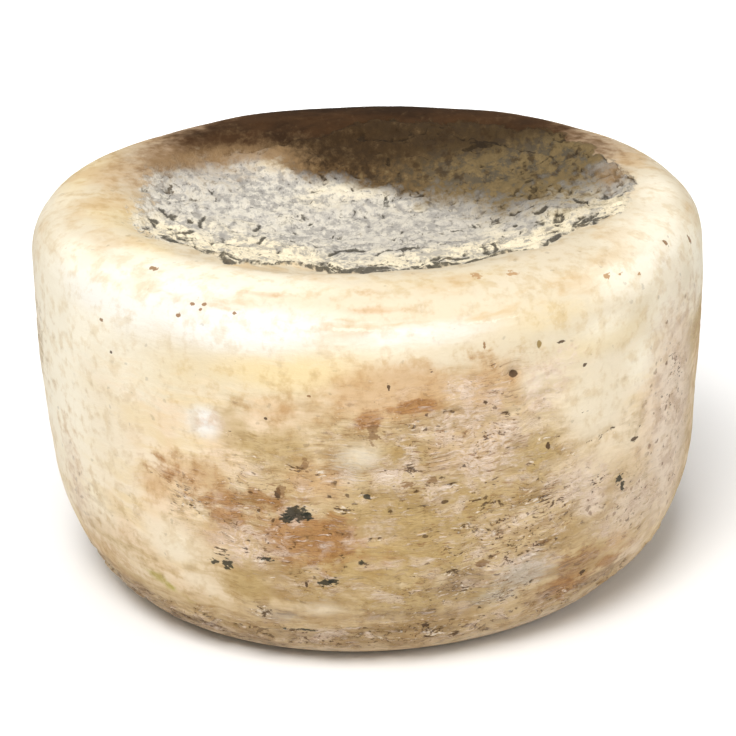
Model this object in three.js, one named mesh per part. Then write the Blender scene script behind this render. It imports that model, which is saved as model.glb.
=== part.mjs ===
// A whole wheel of aged cheese, in millimetres, +Z up.
// The origin is the middle of the flat face that the wheel rests on.
// The wheel is one solid: a drum with a wide rounded foot, nearly upright sides, a tight
// shoulder and a top that has sunk into a shallow dish while the cheese matured.

import * as THREE from "three";

// Driving dimensions.
const DIAMETER = 220;
const HEIGHT = 126; // up to the crest of the rim
const FOOT_RADIUS = 83; // flat face underneath
const FOOT_HEIGHT = 42; // how high the rounding of the foot reaches
const FOOT_EXPONENT = 1.67; // under 2 is flatter than an ellipse
const SIDE_TAPER = 1.5; // how much narrower the side is above the foot than at the shoulder
const SHOULDER_START = 100; // height where the shoulder leaves the side
const SHOULDER_EXPONENT = 3.2; // over 2 is squarer than an ellipse
const CREST_RADIUS = 87; // highest ring of the rim
const RIM_TILT = 1.2; // the top leans down by this much towards +X
const DISH_DEPTH = 13; // how far the middle has sunk under the crest
const DISH_EXPONENT = 1.1;
const DISH_OFFSET = 3; // the mouldy crust lies this far towards +X
const CRUST_RADIUS = 77; // edge of the mouldy crust inside the dish
const CRUST_STEP = 0.7; // the crust lies this much lower than the rind round it
const CRUST_LIP = 3.5; // width over which the rind drops to the crust

// Unevenness of a hand-made wheel.
const OUT_OF_ROUND = 0.4;
const FOOT_BULGE = 2.6; // the foot is fuller by this much on one side
const FOOT_BULGE_ANGLE = THREE.MathUtils.degToRad(230);
const FOOT_BULGE_TOP = 32;
const RIM_SWELL = 0.3;
const RIM_RISE = 0.8; // the rim stands higher by this much at the back
const RIM_RISE_ANGLE = THREE.MathUtils.degToRad(72);
const RIND_LUMP = { height: 0.28, length: 46 };
const DISH_LUMP = { height: 0.9, length: 34 };
const CRUST_LUMP = { height: 0.42, length: 12 };

// Mesh density.
const COLUMNS = 112; // round the side, halved towards the middle of the dish and of the foot
const FOOT_RINGS = 10;
const SIDE_RINGS = 10;
const SHOULDER_RINGS = 10;
const CRUST_RING_STEP = 3.4;
const LIP_RING_STEP = 2.4;
const HALVE_UNDER = [47, 24, 11]; // radii where the number of columns is halved

const RADIUS = DIAMETER / 2;
const GOLDEN_ANGLE = Math.PI * (3 - Math.sqrt(5));

const smooth = (from, to, value) => THREE.MathUtils.smoothstep(value, from, to);

// A smooth random-looking field from -1 to 1: plane waves of about one length, in directions
// spread over a sphere by the golden angle.
function waves(point, length, seed) {
  const count = 7;
  let sum = 0;
  for (let i = 0; i < count; i++) {
    const up = 1 - (2 * (i + 0.5)) / count;
    const flat = Math.sqrt(1 - up * up);
    const turn = GOLDEN_ANGLE * (i + seed);
    const along =
      point.x * flat * Math.cos(turn) + point.y * flat * Math.sin(turn) + point.z * up;
    sum += Math.sin((2 * Math.PI * along) / (length * (0.75 + 0.09 * i)) + seed * (i + 1));
  }
  return sum / Math.sqrt(count * 2);
}

// Superellipse quarter from (0, 1) at share 0 to (1, 0) at share 1.
function roundedCorner(share, exponent) {
  const angle = (share * Math.PI) / 2;
  return {
    out: Math.sin(angle) ** (2 / exponent),
    up: Math.cos(angle) ** (2 / exponent),
  };
}

function dishHeight(radius) {
  const inside = Math.max(0, 1 - (radius / CREST_RADIUS) ** 2);
  return HEIGHT - DISH_DEPTH * inside ** DISH_EXPONENT;
}

// The half outline of the plain wheel, from the edge of the flat foot up and over to the dish.
function outline() {
  const sideFoot = RADIUS - SIDE_TAPER;
  const rings = [];
  for (let i = 0; i <= FOOT_RINGS; i++) {
    const corner = roundedCorner(i / FOOT_RINGS, FOOT_EXPONENT);
    rings.push({
      radius: FOOT_RADIUS + (sideFoot - FOOT_RADIUS) * corner.out,
      height: FOOT_HEIGHT * (1 - corner.up),
    });
  }
  for (let i = 1; i < SIDE_RINGS; i++) {
    const share = i / SIDE_RINGS;
    rings.push({
      radius: sideFoot + SIDE_TAPER * share * (2 - share),
      height: THREE.MathUtils.lerp(FOOT_HEIGHT, SHOULDER_START, share),
    });
  }
  for (let i = 0; i <= SHOULDER_RINGS; i++) {
    const corner = roundedCorner(1 - i / SHOULDER_RINGS, SHOULDER_EXPONENT);
    rings.push({
      radius: CREST_RADIUS + (RADIUS - CREST_RADIUS) * corner.out,
      height: SHOULDER_START + (HEIGHT - SHOULDER_START) * corner.up,
    });
  }
  const lipEnd = CRUST_RADIUS - 2 * CRUST_LIP;
  for (let radius = CREST_RADIUS - LIP_RING_STEP; radius > lipEnd; radius -= LIP_RING_STEP) {
    rings.push({ radius, height: dishHeight(radius) });
  }
  for (let radius = lipEnd; radius > CRUST_RING_STEP; radius -= CRUST_RING_STEP) {
    rings.push({ radius, height: dishHeight(radius) });
  }
  return rings;
}

// Rings across the flat foot, from its middle outwards.
function footRings() {
  return [6, 18, 36, 60].map((radius) => ({ radius, height: 0 }));
}

const columnsAt = (radius) =>
  COLUMNS / 2 ** HALVE_UNDER.filter((limit) => radius < limit).length;

// Where a point of the plain wheel really lies on this uneven one.
function uneven(radius, height, angle) {
  const lift = smooth(0, 18, height); // nothing moves on the flat foot
  const crown = smooth(SHOULDER_START - 30, HEIGHT, height);
  const inDish = 1 - smooth(CREST_RADIUS - 12, CREST_RADIUS, radius);
  const top = height > SHOULDER_START ? 1 : 0;

  const point = new THREE.Vector3(radius * Math.cos(angle), radius * Math.sin(angle), height);
  const outOfRound =
    OUT_OF_ROUND *
    (Math.cos(2 * angle + 0.7) + 0.6 * Math.cos(3 * angle - 1.1) + 0.35 * Math.cos(5 * angle + 2));
  const lump = RIND_LUMP.height * waves(point, RIND_LUMP.length, 3);
  const bulge =
    FOOT_BULGE *
    Math.max(0, Math.cos(angle - FOOT_BULGE_ANGLE)) ** 4 *
    (1 - smooth(3, FOOT_BULGE_TOP, height)) *
    (radius / RADIUS);
  const side = bulge + lift * (outOfRound * (radius / RADIUS) + lump * (1 - inDish * top));

  const swell =
    RIM_SWELL *
    (0.7 * Math.cos(2 * angle - 0.4) + 0.5 * Math.cos(4 * angle - 1.3) + 0.3 * Math.cos(7 * angle));
  const backRise = RIM_RISE * Math.max(0, Math.cos(angle - RIM_RISE_ANGLE)) ** 6;
  let rise = crown * ((swell + backRise) * (radius / CREST_RADIUS) ** 2);
  rise -= (crown * RIM_TILT * point.x) / RADIUS;
  rise += crown * lump;
  if (top) {
    const fromCrust = Math.hypot(point.x - DISH_OFFSET, point.y);
    const edge = CRUST_RADIUS + 2.2 * Math.sin(3 * angle + 0.5) + 1.3 * Math.sin(8 * angle);
    const onCrust = 1 - smooth(edge - CRUST_LIP, edge, fromCrust);
    rise += inDish * DISH_LUMP.height * waves(point, DISH_LUMP.length, 8);
    rise += onCrust * (CRUST_LUMP.height * waves(point, CRUST_LUMP.length, 5) - CRUST_STEP);
  }

  const outward = 1 + side / Math.max(radius, 1);
  return new THREE.Vector3(point.x * outward, point.y * outward, height + rise);
}

// Joins rings of points into one closed skin. Each ring has as many columns as the one before
// it, or half or twice as many, and the first and last rings close on a single point.
function skin(rings, firstPoint, lastPoint) {
  const positions = [...firstPoint];
  const triangles = [];
  const starts = [];
  for (const ring of rings) {
    starts.push(positions.length / 3);
    for (const corner of ring) positions.push(corner.x, corner.y, corner.z);
  }
  const last = positions.length / 3;
  positions.push(...lastPoint);

  const at = (ring, column) => starts[ring] + (column % rings[ring].length);
  for (let i = 0; i < rings[0].length; i++) triangles.push(0, at(0, i + 1), at(0, i));
  for (let r = 0; r + 1 < rings.length; r++) {
    const [low, high] = [rings[r].length, rings[r + 1].length];
    for (let i = 0; i < Math.min(low, high); i++) {
      if (low === high) {
        triangles.push(at(r, i), at(r, i + 1), at(r + 1, i + 1));
        triangles.push(at(r, i), at(r + 1, i + 1), at(r + 1, i));
      } else if (low > high) {
        triangles.push(at(r, 2 * i), at(r, 2 * i + 1), at(r + 1, i));
        triangles.push(at(r, 2 * i + 1), at(r, 2 * i + 2), at(r + 1, i + 1));
        triangles.push(at(r, 2 * i + 1), at(r + 1, i + 1), at(r + 1, i));
      } else {
        triangles.push(at(r, i), at(r + 1, 2 * i + 1), at(r + 1, 2 * i));
        triangles.push(at(r, i + 1), at(r + 1, 2 * i + 2), at(r + 1, 2 * i + 1));
        triangles.push(at(r, i), at(r, i + 1), at(r + 1, 2 * i + 1));
      }
    }
  }
  const end = rings.length - 1;
  for (let i = 0; i < rings[end].length; i++) triangles.push(last, at(end, i), at(end, i + 1));

  const geometry = new THREE.BufferGeometry();
  geometry.setAttribute("position", new THREE.Float32BufferAttribute(positions, 3));
  geometry.setIndex(triangles);
  return geometry;
}

function wheelGeometry() {
  const plain = [...footRings(), ...outline()];
  const rings = plain.map(({ radius, height }) => {
    const columns = columnsAt(radius);
    return Array.from({ length: columns }, (_, i) =>
      uneven(radius, height, (2 * Math.PI * i) / columns),
    );
  });
  const dishMiddle = uneven(0, dishHeight(0), 0);
  const geometry = skin(rings, [0, 0, 0], [dishMiddle.x, dishMiddle.y, dishMiddle.z]);

  // The frame's origin is the middle of the wheel's own box, on the face that it rests on.
  geometry.computeBoundingBox();
  const middle = geometry.boundingBox.getCenter(new THREE.Vector3());
  geometry.translate(-middle.x, -middle.y, -geometry.boundingBox.min.z);
  geometry.computeVertexNormals();
  return geometry;
}

function rindMaterial() {
  return new THREE.MeshStandardMaterial({ color: 0xe9d2a4, roughness: 0.62, metalness: 0 });
}

const wheel = new THREE.Group();
const cheese = new THREE.Mesh(wheelGeometry(), rindMaterial());
cheese.name = "cheese_wheel";
wheel.add(cheese);

export default wheel;
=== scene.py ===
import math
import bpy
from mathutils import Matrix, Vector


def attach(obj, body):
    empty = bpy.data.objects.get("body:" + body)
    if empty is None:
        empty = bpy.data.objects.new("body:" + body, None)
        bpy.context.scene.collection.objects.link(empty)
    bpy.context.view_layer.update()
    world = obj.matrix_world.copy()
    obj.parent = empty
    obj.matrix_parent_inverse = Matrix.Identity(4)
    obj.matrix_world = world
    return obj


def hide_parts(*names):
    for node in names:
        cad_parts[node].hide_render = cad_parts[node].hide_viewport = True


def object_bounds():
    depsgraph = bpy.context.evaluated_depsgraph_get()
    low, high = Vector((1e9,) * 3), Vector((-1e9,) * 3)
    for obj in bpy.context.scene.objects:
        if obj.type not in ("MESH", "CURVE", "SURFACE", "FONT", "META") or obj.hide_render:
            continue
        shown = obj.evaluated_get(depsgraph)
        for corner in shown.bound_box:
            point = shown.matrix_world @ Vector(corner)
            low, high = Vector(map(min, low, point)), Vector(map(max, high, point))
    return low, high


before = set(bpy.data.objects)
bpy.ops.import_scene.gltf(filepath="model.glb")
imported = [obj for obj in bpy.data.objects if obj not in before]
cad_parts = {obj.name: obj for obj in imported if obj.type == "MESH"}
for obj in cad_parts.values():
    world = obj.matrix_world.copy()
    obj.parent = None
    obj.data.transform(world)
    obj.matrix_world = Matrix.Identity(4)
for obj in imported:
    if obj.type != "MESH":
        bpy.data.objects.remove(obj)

# %% [markdown]
# # A wheel of aged cheese
#
# This lesson dresses one object: a whole wheel of farmhouse cheese that has ripened for months
# on a shelf. The solid that comes with the frame already has its outline. What is missing is
# everything that age does to a rind: creases, pinholes, flakes, stains, bloom and mould.
#
# The plan has three parts. First the solid is copied and given a much finer skin, and that skin
# is pushed in and out by fractions of a millimetre. Then each point of the skin is told which
# patch of the wheel it belongs to. Last, one material reads those patches and paints the rind.
#
# The first step is to note how much room the solid takes. The finished piece must not leave that
# box, because everything that stands round the wheel later trusts it.

# %% Keep the solid's box
from types import SimpleNamespace

import bmesh
import bpy
import numpy as np
from mathutils import Matrix, Vector

MM = 0.001
solid_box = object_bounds()
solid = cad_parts["cheese_wheel"]
print("solid", [round(float(v) / MM, 1) for corner in solid_box for v in corner], "mm")

# %% [markdown]
# ## A fine skin over the solid
#
# Small relief needs small faces. One way is to model a new wheel from scratch, but then two
# shapes have to be kept in step. Here the solid's own mesh is copied instead. Its doubled
# points are merged, its triangles are paired into four-sided faces, and a subdivision surface
# rounds what was faceted. The outline stays that of the solid, and each face shrinks to less
# than a millimetre.

# %% Copy the solid and subdivide it
SKIN_LEVELS = 3
SAME_POINT = 0.01 * MM  # points closer than this are one point
PAIR_BEND = math.radians(40)  # two triangles bent more than this stay triangles
PAIR_SKEW = math.radians(60)


def fine_copy(source, levels):
    """The source's mesh in the frame of the whole part, with each face cut much smaller."""
    mesh = source.data.copy()
    mesh.transform(source.matrix_world)
    work = bmesh.new()
    work.from_mesh(mesh)
    bmesh.ops.remove_doubles(work, verts=work.verts, dist=SAME_POINT)
    bmesh.ops.join_triangles(
        work,
        faces=work.faces,
        angle_face_threshold=PAIR_BEND,
        angle_shape_threshold=PAIR_SKEW,
    )
    work.to_mesh(mesh)
    work.free()
    rough = bpy.data.objects.new("coarse_skin", mesh)
    bpy.context.collection.objects.link(rough)
    finer = rough.modifiers.new("finer", "SUBSURF")
    finer.levels = levels
    shown = bpy.context.evaluated_depsgraph_get()
    fine = bpy.data.meshes.new_from_object(rough.evaluated_get(shown))
    bpy.data.objects.remove(rough)
    return fine


skin = fine_copy(solid, SKIN_LEVELS)
print("fine skin", len(skin.vertices), "points,", len(skin.polygons), "faces")

# %% [markdown]
# ## Finding the way on a round wheel
#
# Places on the wheel are easier to name by how far round and how far up they are than by X, Y
# and Z. `turn` is the angle in degrees, 0 at the front and growing towards +X. `girth` is the
# distance in millimetres along the skin: below 0 under the foot, about 0 to 110 up the side,
# and from there over the shoulder and in across the dish.

# %% Turn and girth of every point
WHEEL_RADIUS = 110.0
FOOT_CORNER = 108.5  # radius of the side just above the rounded foot
RIM_HEIGHT = 126.0
CREST_RADIUS = 86.0  # further in than this it is the dish
SIDE_MIDDLE = 60.0


def wayfinding(points):
    """Turn, radius, height and girth of points in millimetres."""
    x, y, z = points.T
    radius = np.hypot(x, y)
    over = np.minimum(z, RIM_HEIGHT) + (WHEEL_RADIUS - radius)
    over = np.where(radius < CREST_RADIUS, RIM_HEIGHT + WHEEL_RADIUS - radius, over)
    under = z - np.maximum(FOOT_CORNER - radius, 0)
    girth = np.where(z > SIDE_MIDDLE, over, under)
    return SimpleNamespace(
        points=points,
        turn=np.degrees(np.arctan2(x, -y)),
        radius=radius,
        height=z,
        girth=girth,
        count=len(points),
    )


def read_vectors(items, name, count):
    """A mesh's vectors as an array with three columns."""
    values = np.empty(count * 3)
    items.foreach_get(name, values)
    return values.reshape(-1, 3)


points = read_vectors(skin.vertices, "co", len(skin.vertices)) / MM
outward = read_vectors(skin.vertex_normals, "vector", len(skin.vertices))
place = wayfinding(points)
print("girth from", round(place.girth.min()), "to", round(place.girth.max()), "mm")

# %% [markdown]
# ## Two kinds of chance
#
# Almost all of the relief is built from two random fields. The first is a cloud. It is soft:
# every corner of a grid gets a number and the space between is filled smoothly. Finer layers
# can be laid over it, each half as large and half as strong. Blender has such a texture, but
# here it has to move real points, so it is written with numpy, which works out hundreds of
# thousands of points at once. A seed makes each run the same.

# %% Clouds
WHOLE = 0xFFFFFFFF  # 32 bits
PRIMES = (374761393, 668265263, 2246822519, 3266489917)  # they scatter the bits of a number
CLEAR_OF_ZERO = 1000  # keeps every grid number positive


def chance(ix, iy, iz, seed):
    """A random-looking number from 0 to 1 for every corner of a grid."""
    mixed = ix * PRIMES[0] + iy * PRIMES[1] + iz * PRIMES[2] + seed * PRIMES[3]
    mixed = mixed & WHOLE
    mixed = ((mixed ^ (mixed >> 15)) * PRIMES[2]) & WHOLE
    mixed = ((mixed ^ (mixed >> 13)) * PRIMES[3]) & WHOLE
    return ((mixed ^ (mixed >> 16)) & WHOLE) / WHOLE


def cloud(points, size, seed, layers=1):
    """Soft noise from 0 to 1 whose lumps are about size across; each layer is half as big."""
    total, weight, share = 0.0, 1.0, 0.0
    for layer in range(layers):
        scaled = points * (2**layer / size) + CLEAR_OF_ZERO
        corner = np.floor(scaled).astype(np.int64)
        part = scaled - corner
        fade = part**3 * (part * (part * 6 - 15) + 10)
        value = 0.0
        for dx in (0, 1):
            for dy in (0, 1):
                for dz in (0, 1):
                    near = (
                        (fade[:, 0] if dx else 1 - fade[:, 0])
                        * (fade[:, 1] if dy else 1 - fade[:, 1])
                        * (fade[:, 2] if dz else 1 - fade[:, 2])
                    )
                    at = corner + (dx, dy, dz)
                    value = value + near * chance(at[:, 0], at[:, 1], at[:, 2], seed + layer)
        total = total + weight * value
        share += weight
        weight *= 0.5
    return total / share


def lumps(points, size, height, seed, layers=1):
    """Lumps and hollows about size across that rise and fall by up to half the height."""
    return height * (cloud(points, size, seed, layers) - 0.5)


print("a cloud averages", round(float(cloud(points[:5000], 9.0, 1).mean()), 2))

# %% [markdown]
# Cells are the second field, and they are hard: every box of a grid holds one seed, and a point
# asks how far the nearest seeds are. Near a seed there can be a hole, and halfway between two
# seeds a crack. `ease` is the other tool that comes back everywhere: it turns a slow change
# into a step with soft ends.

# %% Cells and soft steps
def cells(points, size, seed):
    """Distance to the nearest seed, to the second nearest, and the nearest one's own number."""
    scaled = points / size + CLEAR_OF_ZERO
    home = np.floor(scaled).astype(np.int64)
    first = np.full(len(points), 9.0)
    second = np.full(len(points), 9.0)
    own = np.zeros(len(points))
    for dx in (-1, 0, 1):
        for dy in (-1, 0, 1):
            for dz in (-1, 0, 1):
                ix, iy, iz = (home + (dx, dy, dz)).T
                away = (
                    (ix + chance(ix, iy, iz, seed) - scaled[:, 0]) ** 2
                    + (iy + chance(ix, iy, iz, seed + 1) - scaled[:, 1]) ** 2
                    + (iz + chance(ix, iy, iz, seed + 2) - scaled[:, 2]) ** 2
                ) ** 0.5
                closer = away < first
                second = np.where(closer, first, np.minimum(second, away))
                own = np.where(closer, chance(ix, iy, iz, seed + 3), own)
                first = np.where(closer, away, first)
    return first, second, own


def ease(low, high, value):
    """0 below low, 1 above high, and a soft step between."""
    share = np.clip((value - low) / (high - low), 0, 1)
    return share * share * (3 - 2 * share)


print("half of a soft step is", float(ease(0.0, 1.0, 0.5)))

# %% [markdown]
# ## Patches: what lies where
#
# A rind is a map of small accidents: here a cloth left a fold, there a neighbour touched it, a
# drop ran down, mould took hold. Each kind of patch is a list of soft ovals, given as turn,
# girth, half width, half height (both in millimetres) and strength. Painting the mask by hand
# would also work, but a list can be read, counted and changed.

# %% Soft ovals on the skin
OVAL_FALL = 0.7  # makes an oval half as strong at its half width
LEAST_ARM = 15.0  # keeps ovals round close to the middle of the dish


def ovals(place, spots):
    """How strongly each point lies in any of the ovals, from 0 to 1."""
    amount = np.zeros(place.count)
    arm = np.maximum(place.radius, LEAST_ARM)
    for turn, girth, half_width, half_height, strength in spots:
        away = (place.turn - turn + 180) % 360 - 180
        across = np.radians(away) * arm / half_width
        along = (place.girth - girth) / half_height
        amount = np.maximum(amount, strength * np.exp(-OVAL_FALL * (across**2 + along**2)))
    return amount


def percent(where):
    """How many of the points something holds for, in percent."""
    return round(100 * float(np.mean(where)), 1)


PATCHES = {}  # every kind of patch, and its ovals at the front


def listed(*kinds):
    """Says how many ovals each kind has."""
    print({kind: len(PATCHES[kind]) for kind in kinds}, "ovals")


one_oval = ovals(place, [(0, 60, 20, 10, 1)])
print("an oval of 40 by 20 mm covers", percent(one_oval > 0.5), "% of the points")

# %% [markdown]
# The ground of a rind is never one colour. Where air reached it, it dried nearly white, and some
# of the white and pale is painted light: a painted highlight on the shoulder, strongest on the
# upper left, and paler rind on the right edge where shade would fall. Where the fat comes to the
# skin it is straw yellow, and where it is oldest it has darkened. These are large ovals that
# overlap.

# %% Ground of the rind
# Where the rind has darkened with age, against the paler parts.
PATCHES["aged"] = [
    (8, 62, 56, 30, 1), (34, 36, 50, 30, 1), (-12, 42, 34, 30, 1), (14, 92, 26, 12, 0.9),
    (0, 8, 130, 16, 1), (66, 52, 16, 50, 0.7), (-52, 30, 40, 20, 0.5), (-8, 91, 18, 9, 0.6),
    (-13, 79, 8, 10, 1.1), (-13, 68, 16, 8, 1.2), (-26, 68, 9, 6, 0.9), (-21.6, 86, 7, 9, 0.8),
    (-21, 31, 10, 10, 1.2), (-20, 18, 12, 7, 1.1), (-8, 72, 9, 7, 1),
]
# Nearly white just under the shoulder: partly dry rind, partly a painted highlight.
PATCHES["white"] = [
    (-21.7, 119.5, 34, 9, 1), (-38, 140, 30, 9, 0.5), (-46, 121, 32, 12, 1), (-34, 132, 26, 8, 0.8),
    (4.5, 117, 28, 5, 0.75), (-26.5, 86.5, 6, 5, 1), (58, 124, 22, 9, 0.6), (-44, 129, 14, 7, 0.9),
]
# Straw yellow where the fat shows through.
PATCHES["straw"] = [
    (-12, 105.5, 26, 7, 0.95), (-30, 102, 20, 8, 0.5), (39, 103, 22, 5, 0.65), (29, 117, 20, 7, 0.5),
    (-74, 152, 26, 11, 0.7), (-48, 147, 12, 6, 0.9), (10, 142, 40, 8, 0.4),
]
# Pinkish-grey powder with small dents, like the skin of a mushroom.
PATCHES["powder"] = [
    (59, 64, 17, 38, 1), (68, 98, 14, 18, 0.4), (49, 42, 24, 13, 0.7), (44, 28, 18, 8, 0.3),
    (37.5, 49.5, 7, 6, 0.8), (52, 16, 10, 8, 0.6), (34, 60, 14, 8, 0.5), (-62, 44, 10, 22, 0.5),
]
# The palest parts of the paste, and painted light: a highlight on the upper left and paler rind on the
# right edge, where shade would fall.
PATCHES["pale"] = [
    (-66, 84, 30, 44, 1), (-44, 100, 24, 18, 0.6), (2, 112, 22, 8, 0.4), (48, 122, 20, 10, 0.9),
    (62, 130, 24, 14, 1), (72, 112, 12, 16, 0.9), (60, 112, 20, 12, 0.6), (-30, 141, 40, 9, 0.9),
    (56, 104, 14, 12, 0.7), (48.2, 91, 10, 9, 0.8), (40, 107, 13, 6, 0.65), (66, 99, 16, 12, 0.7),
    (76, 104, 18, 16, 0.8), (82, 139, 18, 9, 0.8), (-58, 130, 18, 8, 0.9), (-44, 129, 14, 8, 0.8),
    (-49, 108, 14, 8, 0.8), (-56, 44, 12, 12, 0.7), (-54, 104, 14, 12, 0.9), (-86, 132, 22, 14, 0.5),
]
listed("aged", "white", "straw", "powder", "pale")

# %% [markdown]
# Whey, oil and the board's tannin soak into the rind and leave stains with a dark core. They
# are small and strong, and lie in a loose chain low on the side, where wheels are wiped least.

# %% What soaked in
# Orange-brown stains where whey or oil soaked in.
PATCHES["stain"] = [
    (-11, 51, 15, 9, 1), (-24, 62, 13, 6, 0.7), (-17, 64, 12, 4, 0.6), (-4.5, 48.5, 5, 6, 0.6),
    (-33, 69, 10, 4, 0.45), (6.3, 93.7, 9, 2.4, 0.85), (-0.6, 90.5, 4, 3, 0.95), (17, 108, 7, 3, 0.3),
    (20.4, 93.8, 9, 10, 0.35), (-35.6, 68, 9, 5, 0.6), (-23, 57, 8, 5, 0.85), (35, 29, 15, 7, 0.6),
    (33.8, 14.5, 12, 8, 0.8), (44.2, 20, 14, 7, 0.6), (1, 45, 3, 4, 0.5),
]
# Khaki and olive ground, mostly low on the side.
PATCHES["khaki"] = [
    (8, 60, 30, 12, 0.85), (4, 78, 12, 7, 0.7), (-18.3, 81, 8, 7, 0.75), (25.5, 72, 10, 9, 0.9),
    (4, 42, 30, 12, 0.9), (8, 26, 24, 10, 1), (38, 42, 16, 10, 0.6), (-8, 30, 16, 8, 0.6),
    (47, 72, 10, 8, 0.4), (-21.6, 31, 8, 9, 0.9), (-13, 80, 7, 9, 0.6), (-12, 69, 8, 4, 0.6),
    (38, 29, 16, 8, 0.7), (8, 42, 6, 5, 1.1), (11, 57, 6, 5, 1.1),
]
# Pinkish tan, a little flushed.
PATCHES["blush"] = [
    (3, 99, 18, 8, 1.2), (-14, 93, 14, 6, 0.6), (18, 98, 14, 10, 0.8), (16, 80, 14, 10, 0.6),
    (-30, 68, 14, 7, 0.8), (-24, 50, 12, 8, 0.7), (-62, 52, 12, 26, 0.4), (-60, 20, 22, 9, 0.6),
    (-9, 71, 9, 7, 0.8), (-38, 62, 9, 6, 0.8), (44.6, 29.6, 7, 6, 0.8), (-17.2, 134.4, 8, 1.5, 0.8),
    (0.9, 127.4, 9, 1.6, 0.9), (0.2, 137.2, 4, 2, 0.6),
]
listed("stain", "khaki", "blush")

# %% [markdown]
# Bloom is a dry powder of mould that sits on top of the rind in grains. Between the patches of
# bloom the rind stays bare and waxy. Low down, where it is damp, the mould is a blue-grey film,
# and here and there yellow-green.

# %% What grew or stayed bare
# Dry, white to pinkish bloom that sits on the rind in grains.
PATCHES["bloom"] = [
    (27.2, 94, 7, 8, 1), (31, 102, 6, 4, 0.8), (13.5, 98, 6, 4, 0.85), (18, 78, 14, 11, 0.9),
    (10, 86, 9, 6, 0.6), (3.8, 72, 8, 6, 0.75), (13, 88.5, 10, 4, 0.9), (9.5, 66, 7, 3.5, 0.8),
    (19.2, 94, 5, 4, 0.7), (-19.4, 72.5, 5, 2.6, 0.6), (-11.5, 71, 9, 6, 0.25), (-22.1, 47, 11, 8, 0.8),
    (-4.7, 66, 9, 3, 0.3), (36.4, 58, 10, 8, 0.9), (22, 52, 18, 7, 0.45), (29, 62, 8, 4, 0.6),
    (24, 33, 13, 7, 0.8), (16, 43, 10, 5, 0.5), (-25.7, 86, 5, 5, 0.8), (-4, 50.5, 5, 3, 0.5),
    (0, 42.5, 8, 3, 0.3), (0, 54, 9, 5, 0.6),
]
# Smooth waxy ivory where nothing grew.
PATCHES["ivory"] = [
    (38.1, 86, 14, 13, 1), (45, 68, 10, 6, 0.5), (-2, 79.5, 7, 5, 0.75), (25.3, 96.5, 5, 5, 0.75),
    (-31, 27, 8, 6, 0.5), (-9.8, 22, 11, 4, 0.6), (-36, 42, 12, 10, 0.8), (-48, 75, 16, 22, 0.6),
    (3, 41, 5, 3, 0.35),
]
# Blue-grey film of mould.
PATCHES["film"] = [
    (24.4, 29, 10, 7, 0.9), (20, 21, 9, 5, 0.75), (-17, 17, 9, 3.5, 0.6), (-9, 25, 8, 3, 0.4),
    (-3.7, 76, 10, 7, 0.5),
]
# Yellow-green spot low on the left.
PATCHES["lichen"] = [
    (-41.4, 22.6, 5, 2.4, 0.8), (-38.1, 19, 4, 1.8, 0.9), (-35, 14.5, 3.5, 1.5, 0.6),
]
listed("bloom", "ivory", "film", "lichen")

# %% [markdown]
# The last patches say where the skin is rough rather than what colour it has: creased and
# pinholed, dirty from the shelf, or strewn with dark marks.

# %% Wear, dirt and dark marks
# Where the skin is creased, crazed and pinholed.
PATCHES["worn"] = [
    (10, 75, 36, 20, 1), (20, 50, 34, 20, 1), (-16, 58, 20, 18, 1), (-10, 36, 20, 10, 0.7),
    (8, 28, 34, 12, 0.8), (0, 4, 90, 10, 1), (20, 98, 14, 8, 0.7), (62, 60, 16, 40, 0.4),
    (47, 40, 22, 18, 0.7), (-31, 60, 10, 14, 0.6), (-44, 50, 6, 20, 0.35), (21, 22, 14, 10, 0.9),
]
# Grey-brown shelf dirt in the rounding of the foot.
PATCHES["grimy"] = [
    (-62, 12, 14, 6, 0.7), (-50, 4, 18, 7, 1), (-38, -3, 18, 8, 1), (-24, -8, 18, 8, 0.9),
    (44, 9, 16, 8, 0.7), (13, 32, 10, 7, 0.75), (4, 18, 26, 5, 0.5), (-14, 3, 16, 6, 0.7),
    (34, 26, 14, 6, 0.5), (-18.5, 18, 9, 6, 0.6), (12, 17, 8, 6, 0.6), (30, 12, 8, 7, 0.6),
]
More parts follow.
